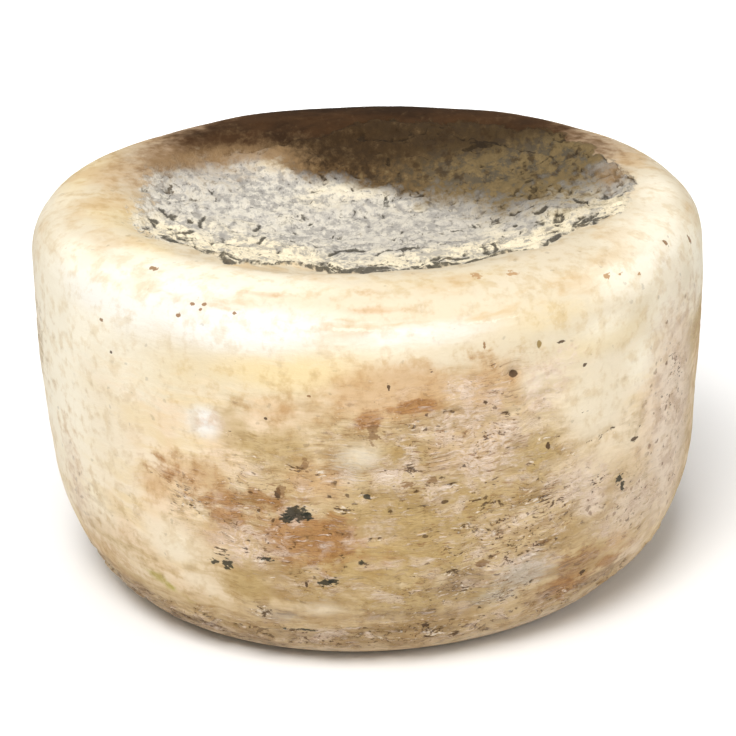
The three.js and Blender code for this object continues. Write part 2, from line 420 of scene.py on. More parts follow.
# Clusters of small dark marks, from the left to the right.
PATCHES["specked"] = [
    (-50, 61.3, 3.1, 3.6, 0.5), (-47.3, 52.2, 2.9, 1.9, 0.5), (-47.7, 39.1, 3.1, 1.8, 0.6),
    (-39.3, 65.8, 3.6, 1.4, 0.7), (-33.2, 63.8, 5.6, 2, 0.7), (-34.4, 54.1, 1.6, 2.8, 0.6),
    (-30.2, 59.4, 4.5, 1.7, 0.8), (-25.5, 43.5, 3.5, 2.5, 1), (-23.6, 48.9, 2.1, 1.4, 1),
    (-22.7, 83.6, 2.6, 1.5, 0.8), (-21.6, 61.1, 5.3, 1.7, 0.9), (-20.5, 45.1, 4, 2.1, 0.9),
    (-19.6, 17.8, 4.2, 4.7, 1), (-18.7, 78.2, 1.9, 1.3, 0.6), (-18.6, 42.5, 2.9, 2.1, 1),
    (-14.7, 7.3, 5.4, 2.5, 1), (-13.4, 35.2, 8.1, 1.3, 0.7), (-12.2, 75.1, 4.2, 1.6, 1),
    (-8.1, 73.3, 2.9, 2.5, 0.9), (-6.5, 53.1, 3.6, 1.3, 1), (-5.3, 45.7, 2.7, 2.7, 0.8),
    (-5.2, 62.2, 4.1, 2.3, 1), (-2.1, 67.3, 2.6, 1.3, 0.9), (-1.9, 42.9, 2.4, 1.4, 1),
    (-0.2, 32.9, 3, 2.3, 0.7), (2.3, 72.3, 2.3, 0.9, 0.9), (4.1, 20.6, 6.1, 3.6, 0.5),
    (5.5, 74.7, 2.3, 2.8, 1), (5.6, 87.3, 3.5, 1.9, 0.8), (5.7, 37.6, 4.2, 2, 0.8),
    (9.3, 104.7, 1.3, 1.3, 0.9), (9.3, 2.4, 4, 5.9, 1), (10.9, 22.3, 2.9, 2.3, 0.8),
    (11.3, 37.6, 4, 2.4, 1), (11.7, 100.1, 2.1, 1.3, 0.9), (11.8, 68.4, 2.7, 1.1, 0.9),
    (13.6, -0.7, 2.9, 4.5, 1), (13.6, 43.5, 3.8, 1.7, 0.9), (13.8, 52.7, 4.4, 1.7, 1),
    (14, 28.9, 3.9, 4.1, 0.9), (19.5, 24, 7, 5, 0.6), (15.6, 65, 2.8, 1.1, 0.9),
    (15.9, 78.9, 1.9, 1.1, 0.8), (16.6, 57.1, 2.6, 2, 0.9), (17.1, 81.7, 3.1, 1.3, 0.8),
    (18.2, 59.9, 4.9, 1.7, 1), (18.6, 103.7, 1.3, 1.3, 0.9), (18.9, 66.5, 2.9, 1.6, 0.8),
    (19.6, 52.6, 4, 1.4, 0.8), (20.9, 87.6, 2.3, 1.9, 0.9), (23, 56.2, 4.1, 2, 0.7),
    (24.7, 70.9, 3.5, 1.6, 0.9), (26, 37.2, 5.2, 1.3, 0.9), (26.6, 56.9, 6.5, 1.1, 1),
    (27.3, 41.1, 3.7, 1.8, 1), (27.7, 77.5, 5.1, 1.3, 0.9), (32.5, 69.9, 2.8, 1.1, 0.8),
    (32.8, 59.9, 3.6, 1.4, 0.8), (34.6, 11.1, 5.7, 4.3, 0.8), (34.7, 81.9, 3.3, 2.9, 0.6),
    (38.2, 56, 5, 5.2, 0.8), (38.9, 72.4, 5.5, 1.6, 0.7), (56.3, 70.4, 7, 7, 0.6),
    (59.9, 80, 9, 13, 0.7),
]
listed("worn", "grimy", "specked")

# %% [markdown]
# So far every oval was listed one by one, and all of them lie at the front. The rest of the way
# round is filled by chance, so that no side is bare. The draw is seeded, which gives the same
# wheel each time.

# %% Ovals by chance
BACK_FROM, BACK_TO = 72.0, 288.0  # degrees of turn that chance fills


def scattered(count, seed, girths, widths, flatness, strengths):
    """Ovals at random round the back, between the two girths."""
    draw = np.random.default_rng(seed)
    spots = []
    for _ in range(count):
        width = draw.uniform(*widths)
        spots.append(
            (
                draw.uniform(BACK_FROM, BACK_TO),
                draw.uniform(*girths),
                width,
                width * draw.uniform(*flatness),
                draw.uniform(*strengths),
            )
        )
    return spots


print("chance fills", BACK_TO - BACK_FROM, "degrees of the way round")

# %% [markdown]
# Each kind has a rule of its own. With its own seed, one kind can be changed without moving the
# others. All ovals of a kind together make its mask, one number from 0 to 1 for every point.

# %% The back, and all masks
BACK_RULES = {  # how many, the seed, and least and most girth, width, flatness and strength
    "aged": (8, 10, (20, 60), (34, 60), (0.5, 0.8), (0.8, 1.0)),
    "white": (3, 20, (95, 120), (16, 30), (0.3, 0.5), (0.5, 0.9)),
    "straw": (8, 22, (80, 150), (20, 36), (0.2, 0.5), (0.5, 0.9)),
    "powder": (9, 21, (15, 110), (16, 34), (0.5, 1.0), (0.6, 1.0)),
    "pale": (7, 19, (60, 120), (24, 40), (0.4, 0.9), (0.5, 0.9)),
    "stain": (16, 11, (10, 105), (3, 14), (0.25, 0.6), (0.5, 1.0)),
    "khaki": (16, 12, (10, 90), (10, 28), (0.3, 0.6), (0.6, 1.0)),
    "blush": (12, 13, (25, 110), (10, 22), (0.4, 0.8), (0.5, 0.9)),
    "bloom": (22, 14, (20, 105), (5, 14), (0.4, 0.8), (0.6, 1.0)),
    "ivory": (9, 15, (25, 105), (8, 18), (0.6, 1.0), (0.6, 1.0)),
    "film": (5, 16, (8, 50), (6, 12), (0.4, 0.7), (0.5, 0.9)),
    "lichen": (3, 17, (10, 40), (3, 5), (0.4, 0.6), (0.6, 0.9)),
    "worn": (14, 18, (8, 95), (16, 36), (0.4, 0.8), (0.7, 1.0)),
    "grimy": (9, 23, (-10, 8), (14, 24), (0.3, 0.5), (0.6, 1.0)),
    "specked": (64, 24, (-6, 106), (2, 6), (0.3, 0.7), (0.6, 1.0)),
}
masks = {}
for kind, spots in PATCHES.items():
    masks[kind] = ovals(place, spots + scattered(*BACK_RULES[kind]))
print("patches", {kind: round(float(mask.mean()), 2) for kind, mask in masks.items()})

# %% [markdown]
# ## The mouldy crust in the dish
#
# Damp collected in the sunken top and a grey mould grew there, up to a ragged shoreline. The
# shoreline is a list of radii round the wheel, joined smoothly and then frayed with clouds.
# `inland` tells every point how many millimetres inside it lies. Relief and colour both use
# that one number, so the step in the skin and the change of colour always meet.

# %% Distance inside the shoreline
SHORE = {  # degrees of turn, and the radius there
    -180: 78, -157: 69, -145: 71, -130: 76, -104: 75, -90: 72, -73: 75, -64: 80, -55: 82,
    -52: 78, -48: 74, -44: 74, -38: 75, -34: 78, -29: 82, -26: 72, -23: 64, -19: 62, -12: 68,
    -6: 79, -1: 85, 3: 82, 7: 78, 12: 76, 16: 71, 22: 68, 26: 69, 30: 74, 35: 76, 38: 82, 41: 83,
    50: 80, 54: 77, 57: 78, 59: 82, 63: 85, 68: 88, 74: 87, 79: 85, 88: 87, 97: 88, 104: 87,
    113: 84, 121: 87, 130: 86, 150: 83, 162: 80,
}
FRAY = ((9.0, 2.6), (2.6, 1.1))  # size of a tongue of mould, and how far it reaches
DISH_FROM = 100.0  # the crust is only looked for above this height
NOWHERE_NEAR = -20.0


def shoreline(turn):
    """The radius of the shore at a turn."""
    angles = sorted(SHORE)
    return np.interp(turn, angles, [SHORE[angle] for angle in angles], period=360)


inland = shoreline(place.turn) - place.radius
for seed, (size, reach) in enumerate(FRAY, start=21):
    inland = inland + lumps(points, size, 2 * reach, seed)
inland = np.where(place.height > DISH_FROM, inland, NOWHERE_NEAR)
on_crust = ease(-0.6, 0.9, inland)
print("crust covers", percent(on_crust), "% of the points")

# %% [markdown]
# ## Relief of the crust
#
# The mould dries into a skin of its own. In the middle it is lumpy, with dark pits and short
# winding cracks. A thin line comes from a cloud: wherever it passes through its middle value
# there is a line, and it never ends or crosses itself, just as a crack does. A second cloud
# wipes out parts of the lines, so that only short pieces stay.

# %% Knobs, pits and short cracks
STRETCH = (1, 0.6, 1)  # lumps are longer from front to back


def winding(field, width):
    """Thin lines where a cloud passes through its middle value."""
    return 1 - ease(0.0, width, np.abs(field - 0.5))


flat = points * (1, 1, 0)
bent = flat + np.stack([lumps(points, 5.0, 2.4, seed) for seed in (31, 32, 33)], axis=1)

knobs = cloud(bent * STRETCH, 3.0, 43, layers=3)
pit = 1 - ease(0.25, 0.35, knobs + lumps(points, 14.0, 0.2, 46))
pit *= ease(0.42, 0.6, cloud(points * STRETCH, 2.6, 49))
short_crack = winding(cloud(bent, 7.0, 44, layers=2), 0.035)
short_crack *= ease(0.56, 0.7, cloud(points, 6.0, 47))
print("pits cover", percent(pit * on_crust > 0.5), "% of the points")

# %% [markdown]
# Some creases of the crust are as plain to see as the spots on the side, and chance wouldn't put
# them in the right place. Each is given as a path of short straight pieces over the flat dish.
# The long ones run near the front shore, where the crust has been pushed together, and the short
# ones are single cracks.

# %% Where the creases run
CREASES = [  # each a path of x and y
    [(-20, -47), (-15, -55), (-11, -69), (-6, -77), (0, -76), (6, -73), (13, -71), (22, -68),
     (28, -60), (36, -63)],
    [(-14, -49), (-9, -59), (-5, -69)],
    [(0, -61), (4, -53), (10, -60)],
    [(-12, -36), (-8, -30), (-2, -29)],
    [(3, -39), (7, -34), (11, -32), (16, -34)],
    [(19, -49), (26, -48), (31, -48)],
    [(41, -66), (46, -62), (52, -65), (57, -63)],
    [(36, -53), (42, -53), (47, -55)],
    [(36, -42), (37, -37), (39, -39), (40, -46), (38, -51), (36, -47), (36, -42)],
    [(25, -32), (29, -34)],
    [(0, -20), (2, -19), (4, -25)],
    [(-9, -18), (-8, -22)],
    [(-69, -32), (-66, -35), (-63, -39), (-61, -40), (-60, -41)],
    [(-68, -31), (-65, -30), (-64, -36)],
    [(-63, -33), (-62, -27), (-61, -23), (-59, -23), (-56, -21)],
    [(-63, -45), (-61, -46), (-58, -47), (-55, -46), (-53, -43)],
    [(-68, -2), (-66, -6), (-63, -7), (-62, -10)],
    [(-60, -10), (-56, -11)],
    [(-70, -16), (-67, -17)],
    [(-50, -48), (-47, -52), (-44, -55), (-42, -60), (-40, -67), (-38, -68), (-37, -65)],
    [(-36, -67), (-34, -61), (-31, -58), (-29, -55), (-27, -48), (-25, -51)],
    [(-53, -15), (-53, -3)],
    [(-36, -9), (-36, -2)],
    [(-34, -24), (-33, -17)],
    [(-50, -35), (-48, -33)],
    [(-44, -29), (-41, -32)],
    [(59, -24), (61, -19), (63, -19)],
    [(59, -24), (62, -25), (63, -21)],
    [(61, -29), (64, -36), (66, -42), (69, -40), (72, -36), (73, -35)],
    [(64, -33), (66, -30), (68, -28), (71, -28)],
    [(68, -25), (71, -25)],
    [(74, -33), (75, -32)],
    [(73, -39), (75, -40)],
    [(55, -13), (57, -13), (60, -11)],
    [(46, -6), (49, -8), (50, -6)],
    [(44, -12), (46, -17), (48, -20)],
    [(55, -23), (56, -25)],
    [(68, -1), (70, -10), (73, -11), (76, -10), (78, -8)],
    [(76, 1), (79, 0)],
    [(79, 9), (82, 8), (85, 1)],
    [(81, 1), (84, -1)],
    [(81, -15), (83, -15), (85, -11)],
    [(65, 6), (66, 8)],
    [(54, 21), (56, 21)],
    [(54, 10), (55, 5)],
    [(53, -6), (55, -5)],
    [(66, 50), (69, 44), (71, 47)],
    [(-68, -29), (-66, -29), (-64, -32)],
    [(-67, -36), (-64, -40), (-62, -42)],
    [(-64, -31), (-62, -35), (-59, -39)],
    [(-66, -28), (-64, -38)],
    [(-69, -26), (-67, -32)],
    [(-62, -43), (-60, -44), (-56, -46)],
    [(-69, -18), (-67, -21)],
]
print(len(CREASES), "paths with", sum(len(path) for path in CREASES), "corners")

# %% [markdown]
# A path has no width of its own, so each point asks how far it is from the nearest straight
# piece, and the crease fades out with that distance. Measured from the bent points, the straight
# pieces turn wavy, and a cloud breaks them up.

# %% Creases given as paths
CREASE_STRETCH = np.array([1, 0.5])  # creases are twice as wide from front to back
CREASE_WIDTH = 0.85
OUT_OF_REACH = 1e3


def seam(spots, path, width):
    """How near flat places are to a path of straight pieces, from 0 to 1."""
    nearest = np.full(len(spots), OUT_OF_REACH)
    for start, end in zip(path, path[1:]):
        run = np.subtract(end, start)
        share = np.clip((spots - start) @ run / (run @ run), 0, 1)
        nearest = np.minimum(nearest, np.linalg.norm(spots - start - share[:, None] * run, axis=1))
    return np.exp(-((nearest / width) ** 2))


crumpled = np.zeros(place.count)
for path in CREASES:
    stretched = np.array(path) * CREASE_STRETCH
    crumpled = np.maximum(crumpled, seam(bent[:, :2] * CREASE_STRETCH, stretched, CREASE_WIDTH))
crumpled *= ease(0.25, 0.42, cloud(points * STRETCH, 3.5, 50))
print("creases laid by hand cover", percent(crumpled * on_crust > 0.5), "% of the points")

# %% [markdown]
# Towards the shore the crust has been pushed together into long folds that run along the edge,
# one behind the other, each with a steep front and a slow back. A saw-tooth of the distance
# from the shore gives just that, and clouds bend it and break it up. On the left the crust lies
# flat, so the folds are kept away from there.

# %% Folds along the shore
SOFT_SHORE = [(-86, 160, 34, 60, 1), (-120, 160, 30, 60, 1)]
FOLD_WIDTH = 12.0  # from one fold to the next
FOLD_HEIGHT = 1.1
FOLD_RISE = 1.3  # the steep front of a fold is this long
FOLDED_TO = 46.0  # folds die out this far inland

near_shore = 1 - ease(6.0, FOLDED_TO, inland)
drifted = inland + lumps(points, 17.0, 6.0, 35) + lumps(points, 4.0, 2.4, 36)
fold_number = np.floor(drifted / FOLD_WIDTH)
behind_front = drifted - fold_number * FOLD_WIDTH
fold = ease(0.0, FOLD_RISE, behind_front) * (1 - ease(FOLD_RISE, FOLD_WIDTH, behind_front))
moved_on = points + fold_number[:, None] * 31.0
fold_gate = ease(0.38, 0.56, cloud(moved_on, 13.0, 37)) * near_shore
fold_gate *= 1 - ovals(place, SOFT_SHORE)
fold_front = np.exp(-(((behind_front - 0.5) / 0.8) ** 2)) * fold_gate
print("folds run over", percent(fold_gate * on_crust > 0.5), "% of the points")

# %% [markdown]
# At the very edge the crust stands up as the first fold. Then everything is added up, each part
# with its own height in millimetres. A mask remembers the pits, cracks, creases, the steep fronts
# of the folds and the foot of the first fold, and the colour darkens them: partly dark mould,
# partly painted shade in these low and steep places.

# %% The first fold, and the crust as a whole
EDGE_FOLDS = [  # where the edge stands up at the front
    (-60, 165, 16, 40, 1), (-32, 165, 13, 40, 1.4), (-2, 165, 16, 40, 1.6), (14, 165, 14, 40, 1.5),
    (28, 165, 14, 40, 1.2), (40, 165, 12, 40, 0.6), (60, 165, 16, 40, 0.9),
]
EDGE_BACK = 9.0  # the first fold falls back this far inland
KNOB_HEIGHT = 1.2
SHORT_CRACK_DEPTH = 0.4
PIT_DEPTH = 0.5
HAND_CREASE_DEPTH = 0.5
SUNK = 0.4  # the whole crust lies this much lower than the rind

edge_gate = ovals(place, EDGE_FOLDS + scattered(9, 55, (165, 165), (10, 22), (1.5, 2.0), (0.5, 1.0)))
edge_gate *= 0.65 + 0.35 * ease(0.36, 0.6, cloud(points, 8.0, 48))
edge_gate *= 1 - ovals(place, SOFT_SHORE)
edge_front = edge_gate * np.exp(-(((inland - 0.6) / 1.2) ** 2))
edge_fold = edge_gate * ease(0.0, 1.2, inland) * (1 - ease(1.2, EDGE_BACK, inland))

crust_relief = (
    lumps(flat, 9.0, 0.8, 61, layers=2)
    + KNOB_HEIGHT * (knobs - 0.5)
    + FOLD_HEIGHT * (fold - 0.3) * fold_gate
    + edge_fold
    + lumps(points, 1.8, 0.4, 62)
    - SHORT_CRACK_DEPTH * short_crack
    - PIT_DEPTH * pit
    - HAND_CREASE_DEPTH * crumpled
    - SUNK
)
# Partly dark mould, partly painted shade: low and steep places of the crust, darkened in the colour.
soot = np.maximum(0.6 * pit, 0.7 * short_crack)
soot = np.maximum(soot, 0.9 * crumpled)
soot = np.maximum(soot, fold_front) * on_crust
soot = np.maximum(soot, edge_front)
print("cracks and pits darken", percent(soot > 0.4), "% of the points")

# %% [markdown]
# ## Relief of the side, the rim and the foot
#
# The side stood against cloth and boards. It has slow swells from being turned by hand, fine
# horizontal ridges, and in the worn parts real creases and small holes. Bloom lies on it in
# scales. Multiplying Z before asking for a cloud squeezes it flat, which is how the horizontal
# grain is made.

# %% Swells, grain, creases and holes
GRAIN_SQUEEZE = 4.5  # how many times flatter than wide the grain is
CREASE_DEPTH = 0.45
HOLE_DEPTH = 0.8
SPECK_DEPTH = 0.3
DIMPLE_DEPTH = 0.35
SCALE_HEIGHT = 0.45

worn = masks["worn"] * (1 - 0.85 * masks["ivory"])
above_foot = ease(2.0, 9.0, place.height)
off_crust = 1 - on_crust
lines = points * (1, 1, GRAIN_SQUEEZE) + lumps(points, 14.0, 3.0, 70)[:, None]

swell = lumps(points, 36.0, 0.55, 71) + lumps(points * (1, 1, 2), 15.0, 0.3, 72)
grain = lumps(lines, 11.0, 0.34, 73, layers=2)
crease = winding(cloud(lines, 11.0, 74, layers=3), 0.028)
crease *= ease(0.46, 0.6, cloud(points * (1, 1, 1.6), 7.0, 75)) * ease(0.2, 0.6, worn)
hole_near, _, hole_own = cells(points * (1, 1, 1.3), 9.0, 76)
hole = (1 - ease(0.06, 0.15, hole_near)) * ease(0.35, 0.6, hole_own) * ease(0.2, 0.6, worn)
scale_near, scale_next, scale_own = cells(points * (1, 1, 2.6), 6.5, 77)
scale = ease(0.0, 0.16, scale_next - scale_near) * scale_own

side_relief = swell + grain * (0.35 + 0.9 * worn) - CREASE_DEPTH * crease - HOLE_DEPTH * hole
side_relief -= SPECK_DEPTH * masks["specked"] * ease(0.45, 0.6, cloud(points * (1, 1, 1.8), 2.4, 83))
dimple_near = cells(points * (1, 1, 1.2), 4.0, 79)[0]
side_relief -= DIMPLE_DEPTH * (1 - ease(0.1, 0.5, dimple_near)) * masks["powder"]
side_relief += SCALE_HEIGHT * (scale - 0.5) * masks["bloom"]
print("creases touch", percent(crease > 0.3), "% of the points")

# %% [markdown]
# At the foot the rind is thick and dry and comes off in flakes. A cloud is cut at its middle
# value into high and low ground, like a map with one contour line. The line itself is kept as
# well, because dirt sits along the edge of a flake.

# %% Flakes at the foot
foot_band = ease(-14.0, -4.0, place.girth) * (1 - ease(6.0, 16.0, place.girth))
foot_band *= (place.height < SIDE_MIDDLE) * ease(0.4, 3.0, place.height)
flake = cloud(points * (1, 1, 3.2), 9.0, 81, layers=2)
ledge = ease(0.49, 0.54, flake)
side_relief += foot_band * (0.9 * (ledge - 0.7) + lumps(points * (1, 1, 2), 3.0, 0.8, 82))
flake_rim = foot_band * np.exp(-(((flake - 0.5) / 0.025) ** 2))
print("flakes cover", percent(foot_band * ledge > 0.5), "% of the points")

# %% [markdown]
# ## Single marks
#
# A few marks are too special for chance: the round hole high on the right, hollows under the
# large dark spots, and knocks from other wheels. Each is one small oval dent of its own.

# %% Dents
DENTS = [  # turn, girth, half width, half height, depth
    (21.9, 100.4, 1.6, 1.4, 1.6), (-12.4, 60, 5, 3.2, 0.5), (-7.9, 35.2, 4, 1.8, 0.5),
    (44, 52, 2.6, 2.6, 0.6), (-1.5, 66.7, 1.4, 1, 0.9), (-24.6, 38.8, 2.6, 2, 0.6),
    (-40.9, 139.6, 2.2, 2, 0.7), (26.4, 107.8, 1.3, 2.2, 0.5), (9, 7.8, 6, 2.4, 0.7),
    (17, 37.8, 3.4, 1.7, 0.5),
]
for turn, girth, half_width, half_height, depth in DENTS:
    side_relief -= depth * ovals(place, [(turn, girth, half_width, half_height, 1.0)])
print(len(DENTS), "dents")

# %% [markdown]
# Cloth leaves creases, and dry rind splits along them. The longest ones are listed one by one,
# each a path from place to place, and some more by chance at the back. The girth of the points is
# made wavy first, so that the straight pieces of a path turn into a torn line.

# %% Seams
SEAMS = [  # each a path of turns and girths
    [(12.2, 62.5), (16.5, 61.8), (21.2, 59.0), (26.6, 57.2), (30.7, 56.1)],
    [(12.2, 34.4), (16.3, 36.1), (21.5, 36.5), (27.8, 37.7)],
    [(12.4, 26.0), (15.6, 29.1), (18.4, 32.9)],
    [(12.9, 11.6), (17.4, 12.1)],
    [(3.6, -11.8), (8.9, 0.8), (10.3, 9.4)],
    [(-33.7, 2.8), (-26.9, -1.8), (-20.9, -3.4)],
    [(36.1, 72.1), (39.4, 71.8), (42.2, 72.7)],
    [(27.8, 76.4), (30.5, 76.8)],
    [(48.3, 67.7), (51.0, 74.1), (58.8, 74.2)],
    [(-34.6, 57.4), (-30.7, 57.5), (-28.1, 53.5)],
    [(-2.7, 51.5), (3.5, 51.6)],
]
BACK_SEAMS = 16
SEAM_WIDTH = 0.9
SEAM_DEPTH = 0.4

draw = np.random.default_rng(94)
for _ in range(BACK_SEAMS):
    at = np.array([draw.uniform(BACK_FROM, BACK_TO), draw.uniform(8, 100)])
    middle = at + (6, draw.uniform(-2, 2))
    end = at + (11, draw.uniform(-4, 4))
    SEAMS.append([tuple(at), tuple(middle), tuple(end)])

wavy = place.girth + lumps(points, 6.0, 3.0, 95, layers=2)
seams = np.zeros(place.count)
for path in SEAMS:
    first = path[0][0]
    along = np.radians((place.turn - first + 180) % 360 - 180) * WHEEL_RADIUS
    corners = [(math.radians(turn - first) * WHEEL_RADIUS, girth) for turn, girth in path]
    seams = np.maximum(seams, seam(np.stack([along, wavy], axis=1), corners, SEAM_WIDTH))
seams *= ease(0.36, 0.6, cloud(points, 4.0, 96)) * off_crust
side_relief -= SEAM_DEPTH * seams
print(len(SEAMS), "seams")

# %% [markdown]
# The edge of a cloth left a crusty white line along the shoulder. It is a low ridge that follows
# one girth and wanders a little. After it the relief is complete: the crust's on the crust, the
# side's everywhere else, and nothing at all on the flat face that the wheel stands on.

# %% The shoulder line, and all relief together
SHOULDER_LINE = 120.4
LINE_FALL = 0.09  # it drops this much with every degree of turn
LINE_HEIGHT = 0.15

line_gate = ovals(place, [(-6, SHOULDER_LINE, 34, 60, 1), (14, SHOULDER_LINE, 18, 60, 1)])
line_gate *= ease(0.35, 0.6, cloud(points, 7.0, 91))
line_wander = SHOULDER_LINE - LINE_FALL * place.turn + lumps(points, 16.0, 3.2, 92)
shoulder_line = line_gate * np.exp(-(((place.girth - line_wander) / 0.8) ** 2))
side_relief += LINE_HEIGHT * shoulder_line

FLAT_UNDER = 0.35  # lower than this it is the flat face
FOOT_EDGE = 90.0
relief = off_crust * side_relief * above_foot + on_crust * crust_relief
flat_foot = (place.height < FLAT_UNDER) & (place.radius < FOOT_EDGE)
relief = np.where(flat_foot, 0.0, relief)
print("relief from", round(float(relief.min()), 2), "to", round(float(relief.max()), 2), "mm")

# %% [markdown]
# ## Push the points
#
# The points move along their normals. The rind may only lose a little, never grow past the
# solid's box, so each point is held inside it. Sculpting by hand would do the same, but it
# couldn't be repeated, and here a change of one number gives a new rind.

# %% Move, and hold inside the box
INSIDE = 0.02  # millimetres kept free inside the box

moved = points + outward * relief[:, None]
low, high = (np.array(corner) / MM for corner in solid_box)
moved = np.clip(moved, low + (INSIDE, INSIDE, 0), high - INSIDE)
skin.vertices.foreach_set("co", (moved * MM).ravel())
skin.update()
print("the furthest point moved", round(float(np.abs(relief).max()), 2), "mm")

# %% [markdown]
# ## Painted shadow on the far part of the dish
#
# At the far side the crust is painted dark olive brown: a painted shadow. The rim beside it
# carries the painted shadow too, in brown. The line where the shadow begins is a list of places
# joined up, softer on the right than on the left. A band of painted penumbra lies along the far
# left shore, and near the front the cream of the rind still shows through.

# %% Painted shadow, penumbra and bare cream
SHADOW_EDGE = {  # x, and the y behind which the crust is in painted shadow, in millimetres
    -80: 60, -61: 52, -45: 60, -36: 58, -28: 50, -20: 42, -8: 41, 0: 36, 14: 27, 25: 21, 36: 10,
    44: 0, 54: -7, 61: -10, 69: -10, 76: -2, 83: 5,
}
# x, and over how many millimetres the painted shadow fades in there
SHADOW_FADE = {-30: 8, 14: 9, 25: 18, 44: 24, 54: 34, 61: 42, 90: 44}
SHADOW_LEFT = [(-134, 158, 42, 12, 0.56)]  # a little of the painted shadow comes round on the left
RIM_SHADOW_FROM = (114.0, 132.0)  # girths between which the painted shadow on the rim begins
# Where the rim beside it is darkened by a painted shadow.
RIM_SHADOW_OVALS = [
    (180, 158, 90, 34, 1.3), (-150, 154, 32, 22, 0.95), (142, 154, 40, 26, 1.1),
    (-124, 150, 34, 18, 0.58), (117, 150, 28, 18, 0.72),
]
# A band of painted penumbra along the far left shore, the soft edge of the painted shadow.
PENUMBRA_OVALS = [
    (-118, 158, 10, 6, 0.85), (-126, 161.5, 10, 6, 0.95), (-135, 163.5, 10, 6, 0.95),
    (-143, 166.5, 10, 5.5, 0.85), (-150, 171.5, 10, 6.5, 0.9), (-153, 180, 9, 7, 0.7),
    (-136, 170, 26, 12, 0.42), (-117.7, 148.4, 12, 6, 0.55), (-121.2, 154, 10, 6, 0.6),
    (95, 153, 10, 5, 0.75),
]
# Where cream-coloured rind shows through the crust.
CREAM_CRUST = [
    (-62, 168, 22, 12, 0.9), (-34, 176, 34, 24, 1), (-34, 190, 18, 12, 1.1), (-8, 166, 20, 14, 0.9),
    (24, 172, 34, 22, 1), (56, 166, 30, 14, 0.9), (72, 156, 14, 10, 0.9), (-160, 204, 30, 12, 0.5),
    (-150, 178, 14, 8, 0.6), (150, 214, 16, 8, 0.3), (90, 170, 20, 12, 0.6),
]

# Painted shadow: the far part of the crust, behind the edge line, is darkened in the colour.
x, y = points[:, 0], points[:, 1]
behind = y - np.interp(x, list(SHADOW_EDGE), list(SHADOW_EDGE.values()))
behind += lumps(points, 22.0, 7.0, 101) + lumps(points, 6.0, 4.0, 102)
far_fade = np.interp(x, list(SHADOW_FADE), list(SHADOW_FADE.values()))
far = 0.5 + 0.5 * np.clip(behind / far_fade, -1, 1)
masks["far"] = np.maximum(far, ovals(place, SHADOW_LEFT))
up_the_rim = place.girth + lumps(points, 12.0, 10.0, 103, layers=2)
masks["far_rim"] = ovals(place, RIM_SHADOW_OVALS) * ease(*RIM_SHADOW_FROM, up_the_rim)
masks["cream_crust"] = ovals(place, CREAM_CRUST)
masks["penumbra"] = ovals(place, PENUMBRA_OVALS)
print("painted shadow covers", percent(masks["far"] * on_crust > 0.5), "% of the points")

# %% [markdown]
# A material can't work out distances along a ragged shore, but it can read numbers that are kept
# with the points. So every mask is written to the mesh as an attribute. They survive the next
# step, in which points are joined, because Blender mixes their numbers as well.

# %% Masks that the material reads
SHORE_REACH = 12.0  # the mask is 0 this far outside the shoreline and 1 this far inside


def write_mask(mesh, name, values):
    """Keeps one number per point with the mesh, for the material to read."""
    layer = mesh.attributes.new(name, "FLOAT", "POINT")
    layer.data.foreach_set("value", np.clip(values, 0, 1).astype(np.float32))


shore_reach = SHORE_REACH * (1 + 3.0 * ovals(place, SOFT_SHORE))
masks["shore"] = 0.5 + inland / (2 * shore_reach)
masks["soot"] = soot
# Painted shade: the side's creases and holes, darkened in the colour.
masks["hollow"] = np.maximum(0.7 * crease, hole) * off_crust
masks["specked"] = np.maximum(masks["specked"], 0.95 * seams)
masks["line"] = shoulder_line
masks["flake_rim"] = flake_rim
for kind, values in masks.items():
    write_mask(skin, kind, values)
print("masks", ", ".join(sorted(masks)))

# %% [markdown]
# ## Thin out the mesh
#
# The full grid is far denser than smooth places need. The Decimate modifier joins points where
# the surface is calm and keeps them where it is crumpled, which is just what a wheel with a
# smooth shoulder and a crackled top wants. A plain lower subdivision would lose the cracks.

# %% Thin out and make the piece
MOST_TRIANGLES = 190_000

dense = bpy.data.objects.new("dense_rind", skin)
bpy.context.collection.objects.link(dense)
triangles = sum(len(face.vertices) - 2 for face in skin.polygons)
if triangles > MOST_TRIANGLES:
    thin = dense.modifiers.new("thin", "DECIMATE")
    thin.ratio = MOST_TRIANGLES / triangles
    shown = bpy.context.evaluated_depsgraph_get()
    skin = bpy.data.meshes.new_from_object(dense.evaluated_get(shown))
bpy.data.objects.remove(dense)
skin.shade_smooth()
rind = bpy.data.objects.new("rind", skin)
bpy.context.collection.objects.link(rind)
triangles = sum(len(face.vertices) - 2 for face in skin.polygons)
print("rind", len(skin.vertices), "points,", triangles, "triangles")

# %% [markdown]
# ## Writing a material in few words
#
# A material is a network of nodes, and its colours are amounts of light. Tones are easier to
# name as they look on a screen, from 0 to 255, so they are turned into light in one place.

# %% Screen colours
def tone(red, green, blue):
    """A screen colour from 0 to 255 as the linear light that shaders work with."""
    light = []
    for value in (red, green, blue):
        share = value / 255
        light.append(share / 12.92 if share <= 0.04045 else ((share + 0.055) / 1.055) ** 2.4)
    return (*light, 1.0)


print("a cream in linear light", [round(v, 2) for v in tone(243, 224, 188)[:3]])

# %% [markdown]
# Placing every node by hand hides the idea behind the clicks. A small helper adds one node per
# call and returns its output, so that a recipe reads from the top down. A method takes numbers
# and the outputs of other nodes alike, and sizes are in millimetres.

